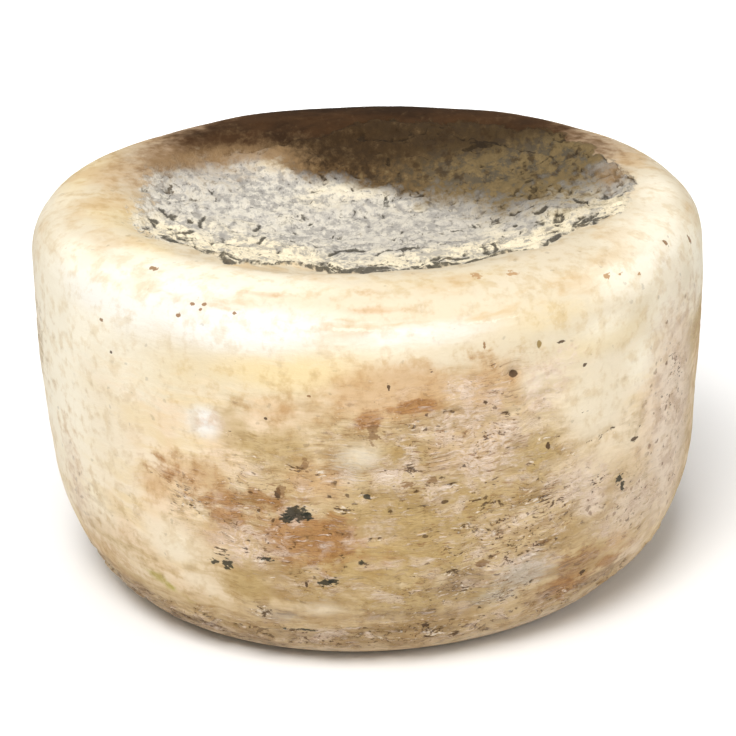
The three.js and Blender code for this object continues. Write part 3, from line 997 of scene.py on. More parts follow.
# %% The recipe helper
class Recipe:
    """A node tree being written. Every method adds a node and gives back its output."""

    def __init__(self, tree):
        self.tree = tree

    def add(self, kind, **settings):
        made = self.tree.nodes.new(kind)
        for name, value in settings.items():
            setattr(made, name, value)
        return made

    def feed(self, socket, value):
        if isinstance(value, bpy.types.NodeSocket):
            self.tree.links.new(value, socket)
        else:
            socket.default_value = value

    def math(self, operation, first, second=0.0, clamp=False):
        made = self.add("ShaderNodeMath", operation=operation, use_clamp=clamp)
        self.feed(made.inputs[0], first)
        self.feed(made.inputs[1], second)
        return made.outputs[0]

    def vector(self, operation, first, second):
        made = self.add("ShaderNodeVectorMath", operation=operation)
        self.feed(made.inputs[0], first)
        self.feed(made.inputs[1], second)
        return made.outputs["Value" if operation == "LENGTH" else "Vector"]

    def step(self, value, start, full, bottom=0.0, top=1.0):
        """Bottom where the value is at start, top where it is at full, and soft between."""
        made = self.add("ShaderNodeMapRange", interpolation_type="SMOOTHSTEP")
        for name, number in (("Value", value), ("From Min", start), ("From Max", full)):
            self.feed(made.inputs[name], number)
        self.feed(made.inputs["To Min"], bottom)
        self.feed(made.inputs["To Max"], top)
        return made.outputs[0]

    def noise(self, where, size, detail, rough=0.55, out="Fac"):
        """Blender's own cloud; detail counts its layers and rough is their strength."""
        made = self.add("ShaderNodeTexNoise")
        self.feed(made.inputs["Vector"], where)
        made.inputs["Scale"].default_value = 1 / size
        made.inputs["Detail"].default_value = detail
        made.inputs["Roughness"].default_value = rough
        return made.outputs[out]

    def blend(self, share, under, over, way="MIX"):
        made = self.add("ShaderNodeMix", data_type="RGBA", blend_type=way)
        made.clamp_factor = True
        self.feed(made.inputs[0], share)
        self.feed(made.inputs[6], under)
        self.feed(made.inputs[7], over)
        return made.outputs[2]

    def mask(self, name):
        return self.add("ShaderNodeAttribute", attribute_name=name).outputs["Fac"]


print("a recipe can", ", ".join(word for word in vars(Recipe) if not word.startswith("_")))

# %% [markdown]
# ## Shared effects as node groups
#
# Three effects come back many times, so each is a node group with named inputs, built once and
# used with different values. The first one frays the edge of a mask. A pattern is added to the
# mask before it is cut at its middle, so the edge moves out where the pattern is high and in
# where it is low. `Raggedness` says how far, `Softness` how blurred the cut is.

# %% Ragged edge
def new_group(name, inputs, outputs):
    """An empty node group with float and vector sockets. Returns its recipe and its ends."""
    group = bpy.data.node_groups.new(name, "ShaderNodeTree")
    for socket, (kind, value) in inputs.items():
        made = group.interface.new_socket(socket, in_out="INPUT", socket_type=kind)
        made.default_value = value
    for socket in outputs:
        group.interface.new_socket(socket, in_out="OUTPUT", socket_type="NodeSocketFloat")
    recipe = Recipe(group)
    return recipe, recipe.add("NodeGroupInput"), recipe.add("NodeGroupOutput")


NUMBER, DIRECTION = "NodeSocketFloat", "NodeSocketVector"
recipe, start, end = new_group(
    "Ragged Edge",
    {
        "Amount": (NUMBER, 0.0),
        "Pattern": (NUMBER, 0.5),
        "Raggedness": (NUMBER, 0.6),
        "Softness": (NUMBER, 0.15),
    },
    ["Mask"],
)
centred = recipe.math("SUBTRACT", start.outputs["Pattern"], 0.5)
frayed = recipe.math("MULTIPLY", centred, start.outputs["Raggedness"])
total = recipe.math("ADD", start.outputs["Amount"], frayed)
below = recipe.math("SUBTRACT", 0.5, start.outputs["Softness"])
above = recipe.math("ADD", 0.5, start.outputs["Softness"])
recipe.feed(end.inputs["Mask"], recipe.step(total, start=below, full=above))
ragged_group = recipe.tree
print("group", ragged_group.name)

# %% [markdown]
# Gas and mites leave small holes. A Voronoi texture gives one point in every cell, and a hole is
# what lies close to it. Each cell's own random colour decides how large its hole is and whether
# there is one at all, so the pattern doesn't look printed.

# %% Pinholes
recipe, start, end = new_group(
    "Pinholes",
    {
        "Place": (DIRECTION, (0.0, 0.0, 0.0)),
        "Spacing": (NUMBER, 6.0),
        "Size": (NUMBER, 0.12),
        "Share": (NUMBER, 0.5),
    },
    ["Mask"],
)
grid = recipe.add("ShaderNodeTexVoronoi", feature="F1")
recipe.feed(grid.inputs["Vector"], start.outputs["Place"])
recipe.feed(grid.inputs["Scale"], recipe.math("DIVIDE", 1.0, start.outputs["Spacing"]))
parts = recipe.add("ShaderNodeSeparateColor")
recipe.feed(parts.inputs[0], grid.outputs["Color"])
grown = recipe.step(parts.outputs[0], start=0, full=1, bottom=0.5, top=1.4)
own_size = recipe.math("MULTIPLY", start.outputs["Size"], grown)
inner = recipe.math("MULTIPLY", own_size, 0.6)
hole_mask = recipe.math("SUBTRACT", 1.0, recipe.step(grid.outputs["Distance"], start=inner, full=own_size))
chosen = recipe.math("LESS_THAN", parts.outputs[1], start.outputs["Share"])
recipe.feed(end.inputs["Mask"], recipe.math("MULTIPLY", hole_mask, chosen))
pinhole_group = recipe.tree
print("group", pinhole_group.name)

# %% [markdown]
# A single spot is the set of places close to a centre. Dividing the way to the centre by half
# the spot's width and height makes an oval, and a pattern frays it.

# %% One spot
recipe, start, end = new_group(
    "Spot",
    {
        "Place": (DIRECTION, (0.0, 0.0, 0.0)),
        "Centre": (DIRECTION, (0.0, 0.0, 0.0)),
        "Shrink": (DIRECTION, (1.0, 1.0, 1.0)),
        "Pattern": (NUMBER, 0.5),
        "Raggedness": (NUMBER, 0.8),
    },
    ["Mask"],
)
away = recipe.vector("SUBTRACT", start.outputs["Place"], start.outputs["Centre"])
scaled = recipe.vector("MULTIPLY", away, start.outputs["Shrink"])
length = recipe.vector("LENGTH", scaled, (0, 0, 0))
centred = recipe.math("SUBTRACT", start.outputs["Pattern"], 0.5)
frayed = recipe.math("MULTIPLY", centred, start.outputs["Raggedness"])
total = recipe.math("ADD", length, frayed)
recipe.feed(end.inputs["Mask"], recipe.math("SUBTRACT", 1.0, recipe.step(total, start=0.75, full=1.1)))
spot_group = recipe.tree
print("group", spot_group.name)

# %% [markdown]
# ## The rind
#
# One material covers the wheel, because the rind, its stains and the mould run into each other.
# It is painted the way the real one came about: first the paste's own cream, straw and khaki,
# then what soaked in, then what grew on top, and last the dark of the holes and creases. It
# starts with its patterns, from slow streaks to fine flecks. Most are squeezed flat, as the
# relief is, so that colour and relief run the same way.

# %% Start the material and its patterns
material = bpy.data.materials.new("aged_rind")
material.use_nodes = True
material.node_tree.nodes.clear()
paint = Recipe(material.node_tree)
coordinates = paint.add("ShaderNodeTexCoord").outputs["Object"]
here = paint.vector("MULTIPLY", coordinates, (1 / MM, 1 / MM, 1 / MM))
swirl = paint.noise(here, 15.0, detail=2, out="Color")
swirled = paint.vector("ADD", here, paint.vector("MULTIPLY", swirl, (9.0, 9.0, 6.0)))
lined = paint.vector("MULTIPLY", swirled, (1, 1, 4.5))
finely_lined = paint.vector("MULTIPLY", swirled, (1, 1, 6))
slightly_lined = paint.vector("MULTIPLY", swirled, (1, 1, 1.8))

slow_streaks = paint.noise(lined, 30.0, detail=4, rough=0.6)
streaks = paint.noise(lined, 9.0, detail=4, rough=0.6)
hairlines = paint.noise(finely_lined, 5.0, detail=4, rough=0.68)
mottle = paint.noise(here, 5.0, detail=5, rough=0.62)
flecks = paint.noise(slightly_lined, 1.7, detail=2, rough=0.6)
drift = paint.noise(here, 26.0, detail=3, rough=0.5)
patchy = paint.noise(slightly_lined, 9.0, detail=4, rough=0.6)
shake = paint.noise(here, 1.5, detail=1, out="Color")
shaken = paint.vector("ADD", swirled, paint.vector("MULTIPLY", shake, (2.2, 2.2, 1.6)))
split = paint.add("ShaderNodeSeparateXYZ")
paint.feed(split.inputs[0], here)
up = split.outputs["Z"]
print("patterns from", len(material.node_tree.nodes), "nodes")

# %% [markdown]
# A few short words make the rest of the recipe readable. `shares` multiplies masks, so that a
# colour comes only where all of them are. `sway` lets a pattern push to both sides.

# %% Words for mixing
def use_group(group, **values):
    """Places a group in the rind's material. Underscores in a name stand for spaces."""
    made = paint.add("ShaderNodeGroup", node_tree=group)
    for name, value in values.items():
        paint.feed(made.inputs[name.replace("_", " ")], value)
    return made.outputs[0]


def ragged(name, pattern, raggedness, softness):
    """One of the mesh's masks with a frayed edge."""
    return use_group(
        ragged_group,
        Amount=paint.mask(name),
        Pattern=pattern,
        Raggedness=raggedness,
        Softness=softness,
    )


def shares(*parts):
    """The product of several shares."""
    total = parts[0]
    for part in parts[1:]:
        total = paint.math("MULTIPLY", total, part)
    return total


def plus(*parts):
    """The sum of several patterns."""
    total = parts[0]
    for part in parts[1:]:
        total = paint.math("ADD", total, part)
    return total


def sway(pattern, reach):
    """A pattern that swings by the reach to both sides of nothing."""
    return shares(plus(pattern, -0.5), reach)


def wander(reach):
    """The height in millimetres, shifted up and down by the streaks."""
    return plus(up, sway(streaks, reach))


blotch = shares(plus(streaks, mottle), 0.5)
print("a blotch is half streaks and half mottle")

# %% [markdown]
# The colour is built like coats of paint. `Coats` keeps the colour so far and lays the next tone
# over it, where all its masks are. Its first coat is the paste itself: cream, with slow streaks
# of straw.

# %% Coats, and the paste
class Coats:
    """Tones laid over each other like coats of paint."""

    def __init__(self, first, name):
        self.colour = first
        self.name = name
        self.count = 0

    def lay(self, over, *where, share=1.0, way="MIX"):
        """Lays a tone where all the masks are, and covers what is below by the share."""
        self.colour = paint.blend(shares(*where, share), self.colour, over, way)
        self.count += 1

    def tell(self):
        print(self.name, "has", self.count, "coats over its ground")


CREAM = tone(229, 212, 185)
STRAW = tone(224, 203, 164)
coats = Coats(paint.blend(paint.step(slow_streaks, start=0.42, full=0.6), CREAM, STRAW), "the rind")
coats.tell()

# %% [markdown]
# The paste is a little peach in places and duller high on the side. White, straw yellow and pale
# patches follow; the white ones hold a painted highlight on the shoulder as well, and the pale
# ones painted light on the upper left and the right edge. Then the aged ground follows with its
# deeper streaks, and khaki. Each share leaves some of what is below.

# %% Peach, straw and the darker aged ground
PEACH = tone(224, 192, 156)
UPPER = tone(212, 199, 173)
STRAW_YELLOW = tone(224, 202, 154)
WHITE_AND_HIGHLIGHT = tone(230, 227, 220)
PALE_AND_PAINTED_LIGHT = tone(242, 234, 214)
AGED = tone(196, 171, 131)
DEEP_AGED = tone(167, 139, 97)
KHAKI = tone(177, 151, 100)
DEEP_KHAKI = tone(146, 118, 74)
coats.lay(PEACH, paint.step(drift, start=0.5, full=0.66), share=0.4)
coats.lay(UPPER, paint.step(wander(36.0), start=84.0, full=106.0), share=0.85)
straw = ragged("straw", blotch, raggedness=0.9, softness=0.4)
coats.lay(STRAW_YELLOW, straw, share=0.85)
# Partly dry white rind, partly a painted highlight on the shoulder.
white = ragged("white", blotch, raggedness=0.9, softness=0.35)
coats.lay(WHITE_AND_HIGHLIGHT, white, share=0.9)
# Partly pale paste, partly painted light on the upper left and the right edge.
pale = ragged("pale", blotch, raggedness=0.7, softness=0.4)
coats.lay(PALE_AND_PAINTED_LIGHT, pale, share=0.85)
aged = ragged("aged", blotch, raggedness=0.9, softness=0.32)
coats.lay(AGED, aged, share=0.95)
coats.lay(DEEP_AGED, aged, paint.step(slow_streaks, start=0.44, full=0.6), share=0.85)
khaki = ragged("khaki", blotch, raggedness=1.4, softness=0.3)
coats.lay(KHAKI, khaki, share=0.8)
coats.lay(DEEP_KHAKI, khaki, paint.step(hairlines, start=0.5, full=0.62), share=0.6)
coats.tell()

# %% [markdown]
# A stain is painted twice: once wide and thin, then once more with a tighter edge and only in
# the hairlines, as a real stain is darkest where the rind is open. Powder hides part of it.

# %% Blush and stains
BLUSH = tone(196, 159, 116)
STAIN = tone(164, 116, 67)
POWDER = tone(224, 207, 188)
DEEP_STAIN = tone(116, 76, 46)
blush = ragged("blush", mottle, raggedness=0.9, softness=0.35)
coats.lay(BLUSH, blush, share=0.7)
stain = ragged("stain", blotch, raggedness=2.0, softness=0.24)
coats.lay(STAIN, stain, share=0.75)
powder = ragged("powder", blotch, raggedness=1.2, softness=0.35)
coats.lay(POWDER, powder, share=0.85)
core = ragged("stain", mottle, raggedness=1.2, softness=0.1)
coats.lay(DEEP_STAIN, core, paint.step(hairlines, start=0.48, full=0.6), share=0.5)
coats.tell()

# %% [markdown]
# Bloom has grains, so its mask is multiplied by a pattern of specks. The blue-grey film follows
# the hairlines and looks wiped. Ivory stays smooth.

# %% Ivory, bloom, film and lichen
IVORY = tone(226, 213, 188)
BLOOM = tone(224, 206, 190)
FILM = tone(178, 170, 158)
LICHEN = tone(164, 154, 58)
ivory = ragged("ivory", mottle, raggedness=0.5, softness=0.3)
coats.lay(IVORY, ivory, share=0.85)
bloom = ragged("bloom", blotch, raggedness=1.6, softness=0.3)
grainy = paint.step(plus(shares(flecks, 0.6), mottle), start=0.7, full=0.9, bottom=0.2, top=1.0)
coats.lay(BLOOM, bloom, grainy, share=0.75)
film = ragged("film", hairlines, raggedness=1.4, softness=0.3)
coats.lay(FILM, film, share=0.65)
lichen = ragged("lichen", mottle, raggedness=0.8, softness=0.3)
coats.lay(LICHEN, lichen, share=0.75)
coats.tell()

# %% [markdown]
# The foot is grey-brown from shelves. The dirt thins out upwards, and the streaks make that edge
# wander up and down. In the hairlines it is darker, between them some powder shows, and a dark
# line runs along the edge of every flake.

# %% The grey-brown foot
GRIME = tone(152, 130, 105)
DEEP_GRIME = tone(98, 76, 56)
grimy = ragged("grimy", blotch, raggedness=1.2, softness=0.35)
foot = paint.math("MAXIMUM", shares(paint.step(wander(26.0), start=19.0, full=3.0), 0.62), grimy)
coats.lay(GRIME, foot, share=0.75)
coats.lay(DEEP_GRIME, foot, paint.step(hairlines, start=0.5, full=0.6), share=0.75)
coats.lay(BLOOM, foot, paint.step(hairlines, start=0.44, full=0.36), share=0.55)
flaked = paint.step(plus(paint.mask("flake_rim"), sway(flecks, 1.6)), start=0.45, full=0.8)
coats.lay(DEEP_GRIME, flaked, share=0.7)
coats.tell()

# %% [markdown]
# The rim is rubbed by hands when wheels are turned and has tan streaks, and chalky crumbs along
# the shoulder line. At the far side it carries a painted shadow in dark brown, with an amber
# fringe of painted penumbra where that shadow begins.

# %% The rim's streaks and the painted shadow on the far rim
RIM_TAN = tone(206, 176, 132)
CHALK = tone(240, 232, 216)
rim = paint.step(up, start=112.0, full=119.0)
bare = paint.math("SUBTRACT", 1.0, shares(pale, 0.8))
coats.lay(RIM_TAN, rim, bare, paint.step(slow_streaks, start=0.5, full=0.64), share=0.6)
crusty = paint.step(plus(shares(paint.mask("line"), 0.5), flecks), start=0.72, full=0.95)
coats.lay(CHALK, crusty, share=0.45)
PENUMBRA_AMBER = tone(146, 108, 70)
RIM_SHADOW_BROWN = tone(67, 45, 25)
DEEP_RIM_SHADOW = tone(43, 28, 14)
# Painted penumbra: an amber fringe where the rim's painted shadow begins.
shadow_fringe = ragged("far_rim", blotch, raggedness=0.6, softness=0.42)
coats.lay(PENUMBRA_AMBER, shadow_fringe, share=0.9)
# Painted shadow: dark brown over the far rim.
far_rim = paint.step(plus(paint.mask("far_rim"), sway(blotch, 0.8)), start=0.5, full=0.95)
coats.lay(RIM_SHADOW_BROWN, far_rim)
coats.lay(DEEP_RIM_SHADOW, far_rim, paint.step(slow_streaks, start=0.4, full=0.65), share=0.85)
coats.tell()

# %% [markdown]
# ## The fine dark marks
#
# Seen close, the worn rind is a web of light and dark lines. They come from the hairlines: the
# low parts are dirt and the high parts are bloom. Where a pattern crosses its middle value there
# is a thin crack. Everything is held back on the ivory, where nothing grew.

# %% Fine lines and cracks
SOILED = tone(230, 215, 188)
HOLE = tone(70, 47, 29)
LINE_BROWN = tone(130, 94, 60)
coats.lay(SOILED, paint.step(mottle, start=0.46, full=0.66), share=0.5, way="MULTIPLY")
worn = ragged("worn", blotch, raggedness=1.2, softness=0.4)
calm = paint.math("SUBTRACT", 1.0, shares(ivory, 0.9))
lively = shares(worn, calm)
dark_lines = paint.step(hairlines, start=0.45, full=0.33)
light_lines = paint.step(hairlines, start=0.565, full=0.68)
coats.lay(BLOOM, lively, paint.step(patchy, start=0.52, full=0.64), share=0.45)
coats.lay(DEEP_KHAKI, lively, paint.step(patchy, start=0.47, full=0.36), share=0.4)
coats.lay(BLOOM, lively, light_lines, share=0.65)
coats.lay(LINE_BROWN, lively, dark_lines, share=0.75)
cracked = paint.step(paint.math("ABSOLUTE", plus(hairlines, -0.5)), start=0.018, full=0.004)
wrinkle = paint.step(paint.math("ABSOLUTE", plus(streaks, -0.5)), start=0.014, full=0.0)
clusters = paint.step(mottle, start=0.48, full=0.58)
coats.lay(LINE_BROWN, cracked, paint.step(patchy, start=0.5, full=0.6), lively, share=0.7)
coats.lay(HOLE, wrinkle, clusters, lively, share=0.7)
coats.tell()

# %% [markdown]
# The powdery parts have the skin of a mushroom, soft and full of shallow dents. Pinholes with a
# wide spacing and a large size give the dents, in a shade and not in black.

# %% Dents in the powder
DENT_SHADE = tone(134, 108, 88)
POWDER_SHADE = tone(186, 160, 136)
dents = use_group(pinhole_group, Place=shaken, Spacing=3.6, Size=0.26, Share=0.75)
coats.lay(POWDER_SHADE, powder, paint.step(patchy, start=0.48, full=0.62), share=0.6)
coats.lay(DENT_SHADE, dents, powder, share=0.8)
coats.tell()

# %% [markdown]
# Dark specks come in three kinds: flecks in crowds, round pinholes, and short dashes. The deepest
# of them at each place counts, and so do the holes and creases of the relief, whose places came
# along as a mask; their dark is painted shade.

# %% Specks and holes
crowd = shares(lively, paint.step(drift, start=0.38, full=0.6, bottom=0.3, top=1.0))
dark_flecks = paint.step(plus(flecks, shares(crowd, -0.1)), start=0.3, full=0.25)
small = use_group(pinhole_group, Place=shaken, Spacing=5.5, Size=0.13, Share=0.5)
drawn_flat = paint.vector("MULTIPLY", shaken, (1, 1, 2.6))
dashes = use_group(pinhole_group, Place=drawn_flat, Spacing=7.0, Size=0.15, Share=0.6)
specks = paint.math("MAXIMUM", shares(dark_flecks, crowd), shares(dashes, lively))
everywhere = paint.step(lively, start=0.0, full=1.0, bottom=0.25, top=1.0)
specks = paint.math("MAXIMUM", specks, shares(small, everywhere))
# Painted shade in the holes and creases of the relief.
shaded_hollows = paint.step(plus(paint.mask("hollow"), sway(flecks, 1.2)), start=0.45, full=0.85)
specks = paint.math("MAXIMUM", specks, shaded_hollows)
coats.lay(HOLE, specks, share=0.8)
coats.tell()

# %% [markdown]
# In the listed clusters, dark marks and pale crumbs lie side by side. Both come from the same
# grit, its high side dark and its low side pale, so they never fall on one place.

# %% Clusters of dark marks
CRUMB = tone(228, 215, 196)
specked = paint.mask("specked")
grit = plus(flecks, shares(hairlines, -1.0))
marks = paint.step(plus(shares(specked, 0.5), grit), start=0.43, full=0.52)
crumbs = paint.step(plus(shares(specked, 0.3), shares(grit, -1.0)), start=0.34, full=0.46)
coats.lay(CRUMB, crumbs, share=0.75)
coats.lay(HOLE, marks, share=0.85)
coats.lay(CHALK, crowd, clusters, paint.step(flecks, start=0.62, full=0.7), share=0.6)
coats.tell()

# %% [markdown]
# ## Single spots of mould
#
# The large dark spots have to be exactly where they are, so each is listed one by one: green-black
# where mould took hold, brown-black in holes, rust where a stain has a core, brown where a drop
# dried. A few more go to the back by chance.

# %% The spots, by ink
GREEN_BLACK = tone(44, 46, 38)
BROWN_BLACK = tone(70, 50, 34)
BROWN = tone(140, 104, 68)
PALE_BROWN = tone(180, 142, 100)
RUST = tone(122, 88, 56)
CLAY = tone(140, 116, 66)
SPOTS = {  # turn, girth, half width, half height, how ragged
    GREEN_BLACK: [
        (-12.6, 60.6, 4.3, 2.5, 0.8), (-14.4, 57.4, 2, 1.3, 0.9), (-10.6, 58.4, 2, 1.3, 0.9),
        (-8.2, 34.8, 2.8, 1.2, 0.9), (-6.9, 35.9, 1.8, 1.3, 0.9), (43.6, 53.2, 1.6, 1.9, 0.9),
        (44.6, 50.4, 1, 1.8, 0.9), (-24.7, 38.6, 1.7, 1.8, 1), (-27.2, 38.9, 1.6, 0.8, 1),
        (-17.8, 42.5, 1.7, 0.7, 1.2), (-1.5, 66.7, 1.1, 0.85, 0.4), (-2.6, 43.6, 1.1, 0.8, 0.8),
        (-13.5, 7.9, 5, 0.55, 1.2),
    ],
    BROWN_BLACK: [
        (-15.1, 66.2, 1, 1.7, 0.7), (21.9, 100.4, 1.5, 1.25, 0.3), (-44.4, 102.5, 0.7, 0.6, 0.5),
        (-16.9, 90.2, 0.6, 0.5, 0.3), (30.3, 106.4, 1.3, 0.5, 0.8), (34.2, 97.2, 0.8, 0.6, 0.8),
        (46.5, 65.4, 1.8, 0.8, 1), (2.1, 100.5, 0.5, 0.9, 0.8), (17.6, 93.2, 0.9, 0.6, 0.8),
        (37.3, 20.5, 1.1, 1.3, 0.8), (-11.6, 33, 0.5, 1.1, 0.5), (28.1, 73.5, 0.8, 1.3, 0.6),
        (8, 8.5, 1.5, 2, 1.1),
    ],
    RUST: [
        (17, 37.8, 2.6, 1.2, 1), (27.7, 40.9, 2.4, 0.8, 1.2), (8.4, 71, 1.5, 1.1, 1),
        (5, 69, 2, 1.1, 1.1), (0.4, 86.6, 1.5, 3.4, 1.1), (-10.6, 77, 1.2, 2.6, 1.2),
        (-5.6, 53.2, 2.4, 0.8, 1.3), (-15, 67.3, 1.3, 2.2, 1),
    ],
    CLAY: [
        (26.4, 107.8, 0.8, 1.4, 0.3),
    ],
    BROWN: [
        (-40.9, 138.8, 1.4, 1.9, 1), (-31.2, 120.2, 0.8, 0.6, 1.1), (-28.9, 125.8, 0.9, 0.5, 1.2),
        (-27.4, 124.6, 0.5, 0.4, 0.9), (-26.4, 126.8, 0.6, 0.5, 1.2), (-21.7, 124.6, 0.6, 1.1, 1.3),
        (-47.4, 111.3, 0.8, 0.6, 0.9), (-9.7, 98, 0.6, 0.4, 0.6), (61, 125.4, 0.9, 1.8, 1.2),
        (70.5, 118.6, 0.9, 2.2, 1), (17.2, 111.9, 0.5, 1.2, 0.8),
    ],
    PALE_BROWN: [
        (19.5, 142.6, 1.3, 0.5, 1.4), (18.4, 140.6, 0.9, 0.5, 1.2), (26.1, 139, 1.7, 0.35, 1.4),
        (42, 125.4, 1.4, 0.5, 1.4), (44.6, 123.9, 1, 0.4, 1.4), (49.4, 121.9, 1, 0.6, 1.2),
    ],
}
BACK_SPOTS = 7
draw = np.random.default_rng(99)
for _ in range(BACK_SPOTS):
    width = draw.uniform(1.2, 4.0)
    height = width * draw.uniform(0.4, 0.8)
    SPOTS[GREEN_BLACK].append((draw.uniform(80, 280), draw.uniform(20, 105), width, height, 0.9))
print(sum(len(spots) for spots in SPOTS.values()), "spots in", len(SPOTS), "inks")

# %% [markdown]
# Each spot is a Spot group with its own centre. The centre is found on the mesh itself: the point
# whose turn and girth are nearest to the wanted ones. Rust has soaked in and stays thin. Mould
# lies on top and covers.

# %% Place the spots
SPOT_FRAY = 3.0  # turns a spot's raggedness into millimetres of pattern
SOAKED_IN, ON_TOP = 0.65, 0.9

end_points = read_vectors(skin.vertices, "co", len(skin.vertices)) / MM
ended = wayfinding(end_points)
for ink, spots in SPOTS.items():
    for turn, girth, half_width, half_height, raggedness in spots:
        away = np.radians((ended.turn - turn + 180) % 360 - 180) * ended.radius
        nearest = int(np.argmin(away**2 + (ended.girth - girth) ** 2))
        spot = use_group(
            spot_group,
            Place=here,
            Centre=tuple(end_points[nearest]),
            Shrink=(1 / half_width, 1 / half_width, 1 / half_height),
            Pattern=flecks,
            Raggedness=raggedness * SPOT_FRAY,
        )
        coats.lay(ink, spot, share=SOAKED_IN if ink == RUST else ON_TOP)
coats.tell()

# %% [markdown]
# ## The mould in the dish
#
# The crust is a second skin with its own colours: ash grey with blue smudges, growing darker
# towards the right as painted shade, cream where the rind shows through near the shore, and
# charcoal specks. Charcoal also fills every crack and pit, partly as dark mould and partly as
# painted shade; it follows the darkened low places of the relief, broken up by fine grit so that
# no edge looks drawn.

# %% Crust colours
ASH = tone(188, 182, 172)
PALE_ASH = tone(212, 205, 190)
SHADED_ASH = tone(172, 163, 148)
CREAM_CRUST_TONE = tone(240, 226, 194)
BLUE_SMUDGE = tone(150, 145, 138)
CHARCOAL = tone(62, 58, 50)
drawn_out = paint.vector("MULTIPLY", here, (1, 0.5, 1))
crust_mottle = paint.noise(drawn_out, 2.6, detail=4, rough=0.66)
crust_drift = paint.noise(here, 11.0, detail=3, rough=0.6)
crust_coats = Coats(
    paint.blend(paint.step(crust_mottle, start=0.4, full=0.58), ASH, PALE_ASH), "the crust"
)
# Painted shade: the crust grows darker towards +X, towards the painted shadow.
crust_coats.lay(SHADED_ASH, paint.step(split.outputs["X"], start=-40.0, full=50.0), share=0.4)
cream_share = ragged("cream_crust", crust_drift, raggedness=1.2, softness=0.3)
crust_coats.lay(CREAM_CRUST_TONE, cream_share, share=0.85)
crust_blots = paint.noise(drawn_out, 4.6, detail=3, rough=0.6)
crust_coats.lay(
    BLUE_SMUDGE, paint.step(plus(crust_mottle, crust_drift), start=1.0, full=0.84), share=0.6
)
crust_coats.lay(BLUE_SMUDGE, paint.step(crust_blots, start=0.44, full=0.34), share=0.7)
crust_coats.lay(CHARCOAL, paint.step(crust_mottle, start=0.36, full=0.3), share=0.6)
crust_grit = paint.noise(drawn_out, 1.5, detail=2, rough=0.6)
crust_coats.lay(CHARCOAL, paint.step(crust_grit, start=0.41, full=0.33), share=0.35)
crumbly = plus(sway(crust_mottle, 1.0), sway(crust_grit, 1.3))
# Partly dark mould, partly painted shade: charcoal in the low places of the crust's relief.
sooty = paint.step(plus(paint.mask("soot"), crumbly), start=0.24, full=0.8)
crust_coats.lay(CHARCOAL, sooty, share=0.9)
crust_coats.tell()

# %% [markdown]
# The painted shadow at the far side of the crust has its own coats, from deep olive to a paler
# one on the right, where the shadow is softer, with grey patches and dark blots in it. They are
# mixed apart and then laid over the rest of the crust as one, so that the change happens in one
# place.

# %% The crust in painted shadow
OLIVE_SHADOW = tone(90, 68, 42)
DEEP_OLIVE_SHADOW = tone(55, 40, 24)
PALE_OLIVE_SHADOW = tone(124, 107, 74)
DUSKY_SHADOW = tone(80, 73, 62)
CRACK_SHADOW_BROWN = tone(36, 28, 19)
# Painted shadow laid over the far part of the crust.
far = ragged("far", plus(crust_drift, sway(crust_mottle, 1.0)), raggedness=0.9, softness=0.38)
far = paint.math("MAXIMUM", far, paint.step(paint.mask("far"), start=0.78, full=0.96))
far_coats = Coats(
    paint.blend(paint.step(crust_mottle, start=0.36, full=0.56), DEEP_OLIVE_SHADOW, OLIVE_SHADOW),
    "the crust in painted shadow",
)
far_coats.lay(PALE_OLIVE_SHADOW, paint.step(crust_mottle, start=0.56, full=0.66), share=0.5)
paler = paint.step(split.outputs["X"], start=-12.0, full=50.0)
far_coats.lay(PALE_OLIVE_SHADOW, paler, share=0.65)
uneven = paint.step(plus(crust_mottle, crust_drift), start=1.07, full=0.86)
far_coats.lay(DUSKY_SHADOW, uneven, paler, share=0.8)
far_coats.lay(DEEP_OLIVE_SHADOW, paint.step(crust_blots, start=0.48, full=0.35), share=0.65)
far_coats.lay(DEEP_OLIVE_SHADOW, paint.step(split.outputs["Y"], start=42.0, full=62.0), share=0.85)
far_coats.lay(CRACK_SHADOW_BROWN, sooty, share=0.7)
crust_coats.lay(far_coats.colour, far)
far_coats.tell()

# %% [markdown]
# The shoreline mask decides which skin is on top. It changes within a millimetre, as mould ends
# at a clear edge. A band of painted penumbra, the soft edge of the painted shadow, lies over both
# skins.

# %% Shoreline
shore = use_group(
    ragged_group,
    Amount=paint.mask("shore"),
    Pattern=crust_mottle,
    Raggedness=0.32,
    Softness=0.04,
)
coats.lay(crust_coats.colour, shore)
PENUMBRA_TAN = tone(144, 116, 82)
# Painted penumbra: tan over both skins along the far left shore.
penumbra = ragged("penumbra", plus(blotch, sway(crust_mottle, 1.0)), raggedness=1.0, softness=0.48)
coats.lay(PENUMBRA_TAN, penumbra, share=0.85)
coats.tell()

# %% [markdown]
# Below a millimetre the mesh can't follow, so a Bump node carries the finest grain. It uses the
# same patterns as the colour, so that a dark line is also a groove.

# %% Small relief
BUMP_STRENGTH = 0.5
BUMP_DEPTH = 0.7 * MM
bumps = shares(hairlines, paint.step(lively, start=0.0, full=1.0, bottom=0.3, top=1.6))
bumps = plus(bumps, shares(flecks, paint.step(crowd, start=0.0, full=1.0, bottom=0.2, top=0.9)))
bumps = plus(bumps, shares(mottle, 0.8))
bumps = plus(bumps, shares(crust_mottle, shore, 2.0))
fine_relief = paint.add("ShaderNodeBump")
fine_relief.inputs["Strength"].default_value = BUMP_STRENGTH
fine_relief.inputs["Distance"].default_value = BUMP_DEPTH
paint.feed(fine_relief.inputs["Height"], bumps)
print("bumps of", round(BUMP_DEPTH / MM, 1), "mm")

# %% [markdown]
# Waxy ivory shines a little, bloom and mould are dull, and so is the painted shadow on the far
# rim. Reflections are kept low everywhere, because on dark stains and on the dark painted shadow
# even a weak shine reads as grey haze.

